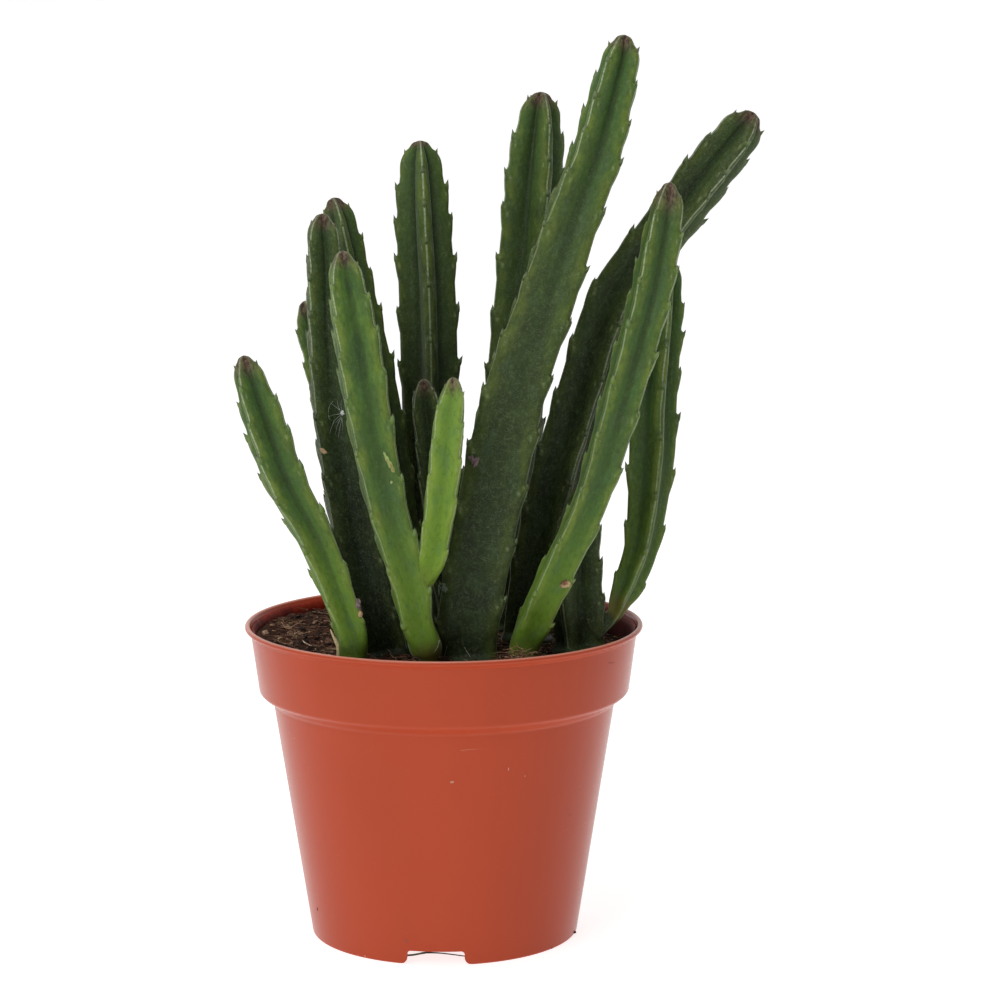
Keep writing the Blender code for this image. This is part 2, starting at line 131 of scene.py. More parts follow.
# The soil's surface, as its solid has it
SOIL_TOP = 78.2 * MM
SOIL_SLOPE = 0.045
HEAP = Vector((19.5, -37.0))    # litter is heaped here, in millimetres from the pot's axis
HEAP_SPREAD = Vector((7.5, 5.5))
HEAP_HEIGHT = 4.1 * MM
SOIL_SPOKES = 300
SOIL_RINGS = 88
SOIL_SIDE_CUTS = 3
SOIL_GAP = 0.35 * MM            # from its top's edge to the wall
SOIL_SIDE_GAP = 0.4 * MM        # and from its side
CLOD_WAVES, CLOD_SHARE = 0.16, 0.55     # waves a millimetre, and share of the lumps' height
CRUMB_WAVES, CRUMB_SHARE = 0.55, 0.4

# Litter on it
BARK_SIZES = (0.35, 0.45, 0.6, 0.8, 1.2)    # half widths of the crumbs, in millimetres
BARK_FLATS = 7                  # flats knocked on a crumb
FIBRE_KINDS = 6
FIBRE_PARTS = 9                 # straight parts of a curled fibre
FIBRE_THICK = 0.012             # its radius for a length of one
FIBRE_DEPTH = 11 * MM           # the length that its height off the soil goes with
FIBRE_LENGTHS = (3, 13)         # millimetres
PATCH_LENGTHS = (2, 5)          # in the patch of dry litter

# How a stem's rings of points are shaped, much as in its solid
RIBS = 4
CREST_SHARPNESS = 1.8
LOBE_SHARPNESS = 0.85           # near the tip the ribs are full, and meet in a sharp groove
YOUNG_LOBE_SHARPNESS = 1.15     # a young stem's ribs are crisper there
TIP_GROOVE = 0.1                # and the groove is deeper by this share
LOBE_ZONE = (8.0 * MM, 60.0 * MM)
FIRST_TEETH = 4.0 * MM          # from the tip to the ring of the highest teeth
TIP_PITCH = 4.4 * MM            # from one ring of teeth to the next, at the tip
STEM_PITCH = 7.4 * MM           # and further down
TIP_ZONE = 16.0 * MM
STEM_ZONE = 45.0 * MM
LOWEST_TEETH = 7.4 * MM
TIP_ROUND = 6.0 * MM
OLD_RIB_START = 0.6 * MM        # the ribs are full from this height
YOUNG_RIB_START = 12.0 * MM
FOOT_DEPTH = 8.0 * MM           # how far a stem goes on under the soil
ROUTE_STEPS = 16
TOOTHED_PAIRS = ((0, 2), (1, 3))

# The finer surface of a stem
STEM_SIDES = 64
CREST_GATHER = 0.5              # draws a ring's points towards the crests
TIP_GATHER = 3.0 * MM           # and the rings towards the tip
TIP_GATHER_ZONE = 4.0 * MM
CREST_DIP = 0.3 * MM
LAST_RING = 0.1 * MM            # the last ring lies this far under the tip
PATTERN_STEP = 60               # millimetres from one stem's place in a pattern to the next's
TOOTH_AXIL = 0.9 * MM           # a tooth's axil is this far above its ring
AXIL_STRAY = 0.35               # millimetres that it strays from there
SWELL_OUT = 0.85 * MM           # how far the rib swells under a tooth
SWELL_RUN = 6.5 * MM            # the swelling starts this far down the rib
SWELL_STEP = 0.4 * MM           # and ends this far above the tooth
AXIL_WIDTH = math.radians(8)    # the swelling's half width at the axil
SWELL_SPREAD = 2.4              # and how much wider it is at its lower end
RIM_PLACE = 0.9                 # a swelling's rim, as a share of its half width
RIM_WIDTH = 0.25
FULL_TOOTH_R = 6.0 * MM         # ribs from this radius on have teeth of full size
TOOTH_HALF = (0.7 * MM, 0.95 * MM)  # a tooth's half width and half depth
TOOTH_IN = 0.55                 # millimetres that its root is sunk in the rib
TOOTH_DOWN = 0.7                # and that it sits further down
TOOTH_UNDER = 0.6 * MM          # a tooth's spot is this far under its axil
TOOTH_SIZES = (0.8, 1.15)
TOOTH_LEAN = (-4, 20)           # degrees out from the stem
APEX_SINK = 0.5 * MM            # the very tip is sunk between the ends of the ribs
APEX_SINK_R = 0.9               # over this many millimetres
APEX_RISE = 0.25 * MM           # and the ribs' ends stand up
APEX_RISE_AT = 1.4              # this many millimetres under the tip
APEX_RISE_R = 1.2
APEX_LEAF = 1.5 * MM            # the last leaves stand this far under the tip
APEX_STAGGER = 0.6 * MM         # and two of the four stand lower by this
APEX_LEAF_SIZE = 0.62
APEX_LEAN = (-34, -14)          # they lean in over the tip
AHEAD = 1.2 * MM                # a stem's direction is read over this distance each way
BRANCH_ROOTS = {                # how much of a branch is sunk in its stem
    "stem_front_forked": 3.5 * MM,
    "stem_far_right_forked": 7.0 * MM,
}


class Stem(NamedTuple):
    """One grown stem. Its route runs from the soil to the tip.

    A route point is x, y, height and rib radius in millimetres, from the pot's axis on the
    ground. The turn is one rib's plan angle at the foot, in degrees, and the twist is what is
    added to it up to the tip. The groove is the section's radius between the ribs, as a share
    of the rib radius. Youth runs from 0, old and dark green, to 1, just grown and
    yellow-green. Bark is how brown the foot has grown. Skew is how many degrees the fourth rib
    stands out of square at the foot. Top is how much younger, or where negative how much
    duller, the stem grows towards its tip. Brown is how many millimetres of it have browned.
    """
    route: tuple
    turn: float
    groove: float
    youth: float
    twist: float = 0.0
    bark: float = 0.0
    skew: float = 0.0
    top: float = 0.0
    brown: float = 6.0


STEMS = {
    "stem_far_left": Stem(
        ((-23, -35, 80.5, 3.5), (-24, -35, 89, 4.7), (-32, -35, 111, 5.8), (-40, -35, 127, 6.4),
         (-45, -35, 142, 6.1), (-48.5, -35, 153, 4.3), (-50, -35, 158.5, 2.6)),
        -32, 0.55, 0.6, twist=2, bark=0.1, top=-0.14, brown=7.5),
    "stem_left_hidden": Stem(
        ((-19, 1, 79.5, 4), (-22, 1, 95, 5), (-25, 1, 111, 5.2), (-29.5, 2, 141, 5.1),
         (-34, 3, 162, 4.6), (-36.5, 3, 168.5, 2.6)),
        -60, 0.55, 0.38),
    # Its youth of 0 puts its lower part on the skin's darkest stop, painted shade for a stem in the
    # others' shadow
    "stem_left_tall": Stem(
        ((-15, -18, 79.5, 7.6), (-19.5, -18, 95, 8.7), (-24, -17, 119, 8.3), (-27.5, -16, 139, 7.4),
         (-29.5, -15, 160, 6.4), (-30, -14, 180, 5.6), (-30.5, -14, 188, 4.6),
         (-30.5, -14, 192.5, 3)),
        -40, 0.5, 0.0, top=0.24),
    "stem_left_back": Stem(
        ((-9, -3, 79.5, 4.8), (-12, -2, 106, 6.1), (-16.6, -1, 140, 6), (-22.5, 0, 169, 5.4),
         (-26.5, 1, 188, 4.3), (-28.5, 2, 195.5, 2.6)),
        8, 0.55, 0.3),
    "stem_front_forked": Stem(
        ((-4, -34, 80, 2.2), (-4.5, -34, 83, 4.4), (-7, -34, 90.5, 5.3), (-9, -34, 101, 6),
         (-14.5, -34, 121, 6.5), (-18.5, -34, 142, 7.1), (-21.5, -34, 162, 7),
         (-24, -34, 177, 5.2), (-25, -34, 184.5, 3)),
        -38, 0.66, 0.64, bark=0.8, top=-0.08),
    "stem_small_middle": Stem(
        ((2, -8, 79.5, 3.5), (-1, -9, 107, 4.6), (-3.5, -10, 133, 4.7), (-4.5, -10, 143, 4.3),
         (-5, -10, 149.5, 2.6)),
        -45, 0.6, 0.12),
    "stem_middle_back": Stem(
        ((-2, 10, 79.5, 7), (-2.7, 10, 109, 7.8), (-3.4, 9, 141, 7.8), (-4, 8, 168, 7.8),
         (-5, 7, 189, 7.2), (-5.5, 7, 202, 5.6), (-5.8, 7, 210, 3.2)),
        4, 0.5, 0.1, top=0.26, brown=2.8),
    "stem_right_back": Stem(
        ((14, 20, 79, 7.3), (17, 18, 113, 8.6), (19.5, 15, 146, 8.8), (22.5, 12, 178, 8.7),
         (24.5, 10, 203, 8), (25.5, 9, 216, 5.6), (26, 9, 222.5, 3.4)),
        23, 0.5, 0.2, top=0.22),
    "stem_tallest": Stem(
        ((6.5, -23, 79, 7.7), (6.5, -23, 89, 8.6), (10, -22, 109, 8.8), (14.5, -21, 130, 8.9),
         (19.5, -20, 150, 8.5), (26.5, -20, 170.5, 8.2), (33, -20, 191, 7.8),
         (38.5, -20, 206, 7.4), (42.5, -20, 221, 6.5), (45, -20, 231, 5.2),
         (46, -20, 237.5, 3.2)),
        -20, 0.5, 0.14, twist=-17, skew=-50, top=0.44),
    "stem_right_leaning": Stem(
        ((22, 2, 79, 6.9), (25.5, 3, 99, 7.9), (31, 4, 123, 8.2), (37.5, 4, 144.5, 8.1),
         (45, 4, 168, 7.8), (57, 4, 185, 7.6), (67.5, 4, 199, 7.4), (77, 4, 211, 6.2),
         (81.5, 4, 217, 3.6)),
        20, 0.5, 0.14),
    "stem_front_right": Stem(
        ((20.5, -22, 79.5, 3.9), (23.5, -24, 88.5, 5), (28, -26, 99, 5.3), (37.5, -27, 120, 5.4),
         (45.5, -28, 147, 6.1), (52, -28, 171, 6.1), (55, -28, 186, 5.6), (56.5, -28, 195, 4.3),
         (57, -28, 201, 2.6)),
        -38, 0.64, 0.7, bark=0.3, top=-0.3, brown=11.0),
    "stem_far_right_forked": Stem(
        ((35.5, -13, 79, 7.2), (34.5, -12, 91, 7.9), (34.5, -12, 102, 7), (35.5, -12, 112, 5.6),
         (37, -12, 119, 4.2), (37.5, -12, 123, 2.8)),
        -29, 0.5, 0.08),
}

# A branch grows out of the stem that it is named for, and is one piece with it
BRANCHES = {
    "stem_front_forked": Stem(
        ((-8, -34, 98, 3), (-4.8, -34.7, 102.8, 4.1), (-2.6, -35, 108.5, 4.6),
         (0, -36, 126.5, 5.1), (1.5, -36, 142, 4.6), (2.5, -36, 149, 3.4),
         (2.5, -36, 153, 2.4)),
        -45, 0.72, 0.98, bark=0.3),
    "stem_far_right_forked": Stem(
        ((39, -13.5, 84, 4.6), (42, -14, 86, 3.2), (44.4, -14.2, 88, 2.4),
         (45.9, -13.8, 91.4, 3.3), (48.5, -12, 96.5, 4.2), (52, -8, 106.5, 5),
         (54.5, -3, 127, 6.5), (55.5, 4, 142, 6.6), (57.5, 11, 162, 6.2),
         (59, 15, 173, 4.4), (59.5, 16, 179, 2.6)),
        16, 0.55, 0.5, bark=0.7),
}
YOUNG_STEMS = ("stem_far_left", "stem_front_forked", "stem_front_right")

# Lights: name, place and side in metres, and the setting that holds the power
LIGHTS = (
    ("key_light", (-0.8, -1.2, 1.05), 0.9, "key_power"),
    ("top_light", (-0.1, -0.2, 1.2), 0.25, "top_power"),
    ("fill_light", (1.2, -0.9, 0.7), 0.9, "fill_power"),
)
AIM_HEIGHT = 0.12
# The room's light grows between these depths, and its shares at the left and at the right
ROOM_NEAR, ROOM_FAR = -0.3, 0.8
LEFT_SHARE, RIGHT_SHARE = 1.25, 0.7

# Camera, fitted to the pot's rim and foot in the photograph
IMAGE = 1000                    # the photograph's side in pixels
CAMERA_PLACE = Vector((POT_X, -830.65 * MM, 245.98 * MM))
CAMERA_PITCH = 0.15542
CAMERA_YAW = 0.0179
CAMERA_ROLL = -0.0011
LENS = 115.146
SENSOR = 36.0
EDGE_REACH = 9                  # pixels that a mark at a piece's edge may be moved
EDGE_WAYS = 12                  # and in how many directions


class Mark(NamedTuple):
    """A small thing that is seen at a pixel of the photograph, in a table by its piece.

    The size is its half width, half height and how far it stands proud, in millimetres. The
    turn is in degrees on the surface, and the tone runs from its finish's dark to its light.
    """
    pixel: tuple
    size: tuple
    turn: float
    tone: float


BUDS = {
    "stem_tallest_skin": [
        Mark((472.5, 459.5), (0.75, 1.15, 0.8), 25, 0.5),
        Mark((476.5, 461.5), (0.65, 1.2, 0.75), -20, 0.62),
        Mark((474.5, 465), (0.6, 0.6, 0.5), 0, 0.3)],
    "stem_far_left_skin": [
        Mark((362.5, 600), (0.7, 1.15, 0.8), -12, 0.55),
        Mark((361.5, 606), (0.6, 0.8, 0.6), 10, 0.4)],
}
SCARS = {
    "stem_left_tall_skin": [Mark((323.5, 451), (0.95, 0.55, 0.3), -38, 0.95)],
    "stem_far_left_skin": [Mark((363, 612.5), (0.7, 0.9, 0.5), 0, 0.9)],
}
GRAZES = {
    "stem_front_forked_skin": [
        Mark((384.8, 454.5), (0.25, 0.7, 0.08), 24, 1.0),
        Mark((387, 459), (0.42, 1.0, 0.08), 24, 0.95),
        Mark((390, 464.5), (0.5, 1.1, 0.08), 24, 0.8),
        Mark((392.8, 469.5), (0.4, 0.8, 0.08), 20, 0.7),
        Mark((387, 460), (0.14, 0.5, 0.12), -10, 0.1),
        Mark((391, 466), (0.16, 0.7, 0.12), 6, 0.0),
        Mark((393, 470), (0.14, 0.4, 0.12), -12, 0.2),
        Mark((391.4, 482.3), (0.3, 0.4, 0.14), 0, 1.0)],
}
RING_SCAR = {"stem_front_right_skin": [Mark((566, 584), (1.4, 0.95, 1.1), 8, 0.9)]}
RING_SIDES = 28
RING_PROFILE = (                # radius and height, for a scar of half width one
    (0.3, -0.6), (0.95, -0.6), (1.0, 0.0), (0.97, 0.35), (0.84, 0.55), (0.68, 0.5),
    (0.5, 0.28), (0.3, 0.2), (0.05, 0.18))
TUFTS = {                       # white down, and a woolly bud in a leaf axil
    "stem_left_tall_skin": [Mark((342.5, 413), (0.5, 0.55, 0.5), 0, 1.0)],
    "stem_tallest_skin": [Mark((444.5, 588), (0.75, 1.0, 0.6), 15, 0.0)],
}
SPECKS = {
    "pot_shell": [
        Mark((317.5, 909), (0.22, 0.55, 0.12), -8, 0.05),
        Mark((577.5, 932), (0.45, 0.3, 0.45), 30, 0.0),
        Mark((552, 948), (0.3, 0.22, 0.15), 0, 0.1),
        Mark((365, 956), (0.16, 0.3, 0.08), 10, 0.85),
        Mark((358, 955), (0.14, 0.2, 0.06), 0, 0.7),
        Mark((406, 941), (0.35, 0.25, 0.05), 20, 0.3),
        Mark((570, 815), (0.16, 0.3, 0.08), 0, 0.15),
        Mark((508.5, 769), (0.12, 0.45, 0.04), 0, 0.85),
        # A nick, its highlight painted as a pale speck
        Mark((452, 782), (0.5, 0.3, 0.06), 12, 0.8),
        Mark((525, 776), (0.15, 0.25, 0.04), 0, 0.75)],
}
SCRATCH = ((461, 750.4), (468, 749.6), (477, 749), (489, 748))
CHIPS = {
    "soil_bed": [
        Mark((266, 634), (1.5, 1.3, 1.3), 20, 0.85),
        Mark((276, 641), (1.0, 0.7, 0.6), -30, 0.75),
        Mark((297, 634), (2.2, 0.8, 0.8), 8, 1.0),
        Mark((288, 627), (1.8, 0.6, 0.6), -10, 0.55),
        Mark((314, 623), (1.3, 0.7, 0.7), 15, 0.65),
        Mark((322, 640), (1.6, 0.6, 0.6), 25, 0.6),
        Mark((510, 657), (0.7, 1.0, 0.8), 60, 0.9),
        Mark((531, 654), (0.9, 0.6, 0.6), 10, 0.8)],
}
STRAND_STEPS = 5                # points of a strand between two of its pixels
STRAND_PASSES = 3               # times that it is evened out
FIBRE_HALF = 0.16 * MM          # the one pale fibre's radius, and how far it lies off the soil
FIBRE_LIFT = 0.7 * MM
PALE_FIBRE = ((303, 643), (308, 646.5), (313, 650), (319, 654.5))
LITTER_PATCH = ((499, 651), (541, 660))     # dry litter shows between two stems
PATCH_FIBRES = 70


class Hairs(NamedTuple):
    """Strands of one kind on one piece, along pixels of the photograph.

    Their radius is a multiple of a fine hair's, and the lift is in millimetres.
    """
    piece: str
    thickness: float
    lift: float
    tone: float
    routes: tuple


HAIRS = (
    # Hairs that run from the tuft of down out over the skin
    Hairs("stem_left_tall_skin", 1, 0.12, 0.42, (
        ((341, 412), (338, 406), (337.5, 400)), ((342, 411), (341, 405), (342.5, 399)),
        ((341, 415), (337, 418), (333.5, 421)), ((341, 417), (338, 420.5), (335, 423)),
        ((341, 418), (337, 426), (335, 435)), ((342, 419), (340, 428), (338, 438)),
        ((334, 421), (331, 428), (329.5, 434)), ((333, 401), (328.5, 407), (328, 414)),
        ((328, 415), (329, 419), (332, 421)), ((340, 414), (334, 414.5), (328, 417)),
        ((340, 410), (336, 407), (330, 403)), ((342, 417), (343, 424), (343, 431)))),
    # Pale blades that curl out of a leaf axil
    Hairs("stem_tallest_skin", 3, 0.2, 0.2, (
        ((438, 587), (435, 591), (434, 597)), ((440, 586), (437.5, 590), (437, 596)),
        ((441, 587), (440, 591), (440.5, 597)), ((439, 586), (441.5, 584.5), (443, 584)))),
    # Single hairs at the feet
    Hairs("stem_tallest_skin", 1, 0.25, 0.7, (
        ((464.5, 647), (467.5, 652), (471, 659)), ((447, 646), (446, 651), (445, 657)))),
    Hairs("stem_front_forked_skin", 1, 0.25, 0.7, (
        ((438.5, 640), (437.5, 646), (434, 652)),)),
)
# Dry skin that has come off beside a foot: points from the pot's axis, and half its width
DRY_SKIN = ((-28.8, -34.8, 88.4, 0.12), (-28.0, -35, 86.4, 0.3), (-27.1, -35.5, 84.8, 0.5),
            (-26.5, -35.8, 83.2, 0.65), (-26.9, -35.6, 81.2, 0.45))
DRY_FOLD = -35.2 * MM           # the flap is pressed flat towards this plane
DRY_FLAT = 0.45
DRAIN_ROOT_R = 34.6             # roots lie in the front slot, so many mm from the pot's axis
DRAIN_ROOTS = (                 # across, height and half thickness in millimetres
    ((-10.2, 2.2, 0.19), (-8.2, 2.45, 0.21), (-6.2, 3.0, 0.19), (-5.4, 3.2, 0.3),
     (-3.0, 3.25, 0.18), (-0.5, 3.1, 0.18), (2.2, 2.7, 0.16), (5.8, 2.05, 0.16)),
    ((-10.1, 2.05, 0.14), (-8.4, 2.2, 0.15), (-6.4, 2.8, 0.14), (-5.0, 3.0, 0.12)),
)


def linear(code):
    """An sRGB hex colour as linear numbers."""
    found = []
    for i in (0, 2, 4):
        value = int(code[i:i + 2], 16) / 255
        found.append(value / 12.92 if value <= 0.04045 else ((value + 0.055) / 1.055) ** 2.4)
    return tuple(found)


class PotSettings(bpy.types.PropertyGroup):
    wall: FloatProperty(
        name="Wall", description="Thickness of the plastic", default=WALL, unit="LENGTH")
    bead: FloatProperty(
        name="Lip", description="Radius of the rounded lip's section", default=0.68 * MM,
        unit="LENGTH")
    unevenness: FloatProperty(
        name="Unevenness", description="How far the thin wall is out of round",
        default=0.25 * MM, unit="LENGTH")
    colour: FloatVectorProperty(
        name="Plastic", description="Colour of the moulded plastic", subtype="COLOR",
        default=linear("B44729"))


class SoilSettings(bpy.types.PropertyGroup):
    lump: FloatProperty(
        name="Lumps", description="Height of the soil's lumps", default=1.6 * MM,
        unit="LENGTH")
    crumbs: IntProperty(
        name="Crumbs", description="Pieces of bark and peat on the surface", default=850)
    fibres: IntProperty(
        name="Fibres", description="Coir fibres on the surface", default=1500)
    colour: FloatVectorProperty(
        name="Peat", description="Colour of moist peat", subtype="COLOR",
        default=linear("42271A"))
    fibre_colour: FloatVectorProperty(
        name="Coir", description="Colour of dry coir and bark", subtype="COLOR",
        default=linear("B59878"))


class StemSettings(bpy.types.PropertyGroup):
    ring_step: FloatProperty(
        name="Ring step", description="Distance between a stem's rings of points",
        default=0.6 * MM, unit="LENGTH")
    tooth: FloatProperty(
        name="Tooth", description="Length of a full-grown tooth", default=2.7 * MM,
        unit="LENGTH")
    old_colour: FloatVectorProperty(
        name="Old skin", description="Colour of an old stem", subtype="COLOR",
        default=linear("243016"))
    young_colour: FloatVectorProperty(
        name="Young skin", description="Colour of a young stem", subtype="COLOR",
        default=linear("3F5E28"))


class MarkSettings(bpy.types.PropertyGroup):
    hair: FloatProperty(
        name="Hair", description="Radius of the fine hairs and the scratch",
        default=0.05 * MM, unit="LENGTH")
    cork: FloatVectorProperty(
        name="Cork", description="Colour of dry skin and healed scars", subtype="COLOR",
        default=linear("C2A47E"))
    down: FloatVectorProperty(
        name="Down", description="Colour of the fluff and the hairs", subtype="COLOR",
        default=linear("DDE2DC"))


class StageSettings(bpy.types.PropertyGroup):
    floor_size: FloatProperty(
        name="Floor", description="Side of the floor", default=3000.0, unit="LENGTH")
    key_power: FloatProperty(
        name="Key light", description="Power of the large soft light, in watts", default=11.5)
    fill_power: FloatProperty(
        name="Fill light", description="Power of the soft light on the right, in watts",
        default=0.3)
    top_power: FloatProperty(
        name="Top light", description="Power of the small light overhead, in watts",
        default=3.2)
    backdrop: FloatProperty(
        name="Backdrop", description="Brightness of the white backdrop", default=0.8)
    room: FloatProperty(
        name="Room", description="Brightness of the room on the camera's side", default=0.12)


def deselect():
    """Leave edit mode and select nothing, because an operator acts on all that is selected."""
    if bpy.context.mode != "OBJECT":
        bpy.ops.object.mode_set(mode="OBJECT")
    bpy.ops.object.select_all(action="DESELECT")


def pick(*pieces):
    """Select only these pieces. The first one is active."""
    deselect()
    for piece in pieces:
        piece.select_set(True)
    bpy.context.view_layer.objects.active = pieces[0]


def settle(name):
    """Name the new active object, and put its place, turn and size into its mesh."""
    piece = bpy.context.object
    piece.name = piece.data.name = name
    bpy.ops.object.transform_apply(location=True, rotation=True, scale=True)
    return piece


def edges_to_edit(piece, wanted):
    """Enter edit mode with only those edges selected whose two ends satisfy the test."""
    pick(piece)
    bpy.ops.object.mode_set(mode="EDIT")
    bpy.ops.mesh.select_mode(type="EDGE")
    bpy.ops.mesh.select_all(action="DESELECT")
    work = bmesh.from_edit_mesh(piece.data)
    for edge in work.edges:
        a, b = (vert.co for vert in edge.verts)
        edge.select = bool(wanted(a, b))
    work.select_flush_mode()
    bmesh.update_edit_mesh(piece.data)


def upright(a, b):
    """Whether an edge rises from one end to the other."""
    return abs(a.z - b.z) > TINY


def cut_edges(piece, wanted, cuts):
    """Cut the wanted edges, and the faces between them."""
    edges_to_edit(piece, wanted)
    bpy.ops.mesh.subdivide(number_cuts=cuts)
    bpy.ops.object.mode_set(mode="OBJECT")


def apply_modifier(piece, kind, **settings):
    """Add a modifier with its settings, and apply it."""
    pick(piece)
    modifier = piece.modifiers.new(kind.lower(), kind)
    for key, value in settings.items():
        setattr(modifier, key, value)
    bpy.ops.object.modifier_apply(modifier=modifier.name)


def face_out(piece):
    """Merge doubles, and turn all faces outwards."""
    pick(piece)
    bpy.ops.object.mode_set(mode="EDIT")
    bpy.ops.mesh.select_all(action="SELECT")
    bpy.ops.mesh.remove_doubles(threshold=0.002 * MM)
    bpy.ops.mesh.normals_make_consistent(inside=False)
    bpy.ops.object.mode_set(mode="OBJECT")


def points_of(mesh):
    """A mesh's points, as rows of an array."""
    co = np.empty(len(mesh.vertices) * 3, np.float32)
    mesh.vertices.foreach_get("co", co)
    return co.reshape(-1, 3).astype(float)


def move_points(mesh, co):
    """Put a mesh's points at these rows' places."""
    mesh.vertices.foreach_set("co", co.astype(np.float32).ravel())
    mesh.update()


def write_values(mesh, name, values):
    """Store three numbers at each point, or the same three at all, for a material to read."""
    layer = mesh.attributes.get(name) or mesh.attributes.new(name, "FLOAT_VECTOR", "POINT")
    values = np.broadcast_to(np.asarray(values, np.float32), (len(mesh.vertices), 3))
    layer.data.foreach_set("vector", values.ravel())


def read_values(mesh, name):
    """The three numbers that are stored at each point."""
    values = np.empty(len(mesh.vertices) * 3, np.float32)
    mesh.attributes[name].data.foreach_get("vector", values)
    return values.reshape(-1, 3)


def smooth(piece):
    """Shade a piece smooth."""
    pick(piece)
    bpy.ops.object.shade_smooth()


def remove_pieces(*pieces):
    """Remove pieces with their meshes."""
    for piece in pieces:
        mesh = piece.data
        bpy.data.objects.remove(piece)
        bpy.data.meshes.remove(mesh)


def finish_piece(piece, material, slot, *nodes):
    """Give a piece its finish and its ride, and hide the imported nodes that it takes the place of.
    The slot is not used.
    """
    piece.data.materials.clear()
    piece.data.materials.append(material)
    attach(piece, BODY)
    if nodes:
        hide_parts(*nodes)
    return piece


def smooth_share(value):
    """A share from 0 to 1 that starts and ends gently."""
    value = np.clip(value, 0, 1)
    return value * value * (3 - 2 * value)


# How a kind of node is mostly set here, which inputs a plain tuple feeds, and the output used
NODE_HABITS = {
    "Mix": ({"data_type": "RGBA"}, (0, 6, 7), 2),
    "MapRange": ({"interpolation_type": "SMOOTHSTEP"}, range(5), 0),
    "Math": ({"operation": "MULTIPLY"}, range(2), 0),
    "VectorMath": ({"operation": "MULTIPLY"}, range(2), 0),
}


def add_node(tree, kind, inputs=(), out=None, stops=(), **settings):
    """Add a node, set it up and feed its inputs. Gives one of its outputs, or "all" of them."""
    habits, order, usual_out = NODE_HABITS.get(kind, ({}, range(3), 0))
    made = tree.nodes.new("ShaderNode" + kind)
    for name, value in (habits | settings).items():
        setattr(made, name, value)
    if not isinstance(inputs, dict):
        inputs = dict(zip(order, inputs))
    for name, value in inputs.items():
        socket = made.inputs[name]
        if isinstance(value, bpy.types.NodeSocket):
            tree.links.new(value, socket)
        else:
            socket.default_value = (*value, 1.0) if socket.type == "RGBA" else value
    for i, (place, colour) in enumerate(stops):
        ramp = made.color_ramp.elements
        stop = ramp[i] if i < len(ramp) else ramp.new(place)
        stop.position = place
        stop.color = (*colour, 1.0)
    if out == "all" or not made.outputs:
        return made.outputs
    return made.outputs[usual_out if out is None else out]


def new_material(name):
    """A material, and what adds a node to its empty tree."""
    made = bpy.data.materials.new(name)
    made.use_nodes = True
    made.node_tree.nodes.clear()
    return made, partial(add_node, made.node_tree)


def lay_over(add, colour, layers):
    """Lay colours over one another. Each lies where all of its masks meet.

    A mask is a share, or else a value, the two values between which it takes effect, and the
    two shares that it has there.
    """
    for over, *masks in layers:
        share = None
        for mask in masks:
            found = add("MapRange", mask) if isinstance(mask, tuple) else mask
            share = found if share is None else add("Math", (share, found))
        colour = add("Mix", (share, colour, over))
    return colour


def end_finish(add, values, height, strength, depth):
    """The shader with its values, and with a bump as deep as this in millimetres."""
    bump = add("Bump", {"Height": height, "Strength": strength, "Distance": depth * MM})
    add("OutputMaterial", (add("BsdfPrincipled", {**values, "Normal": bump}),))


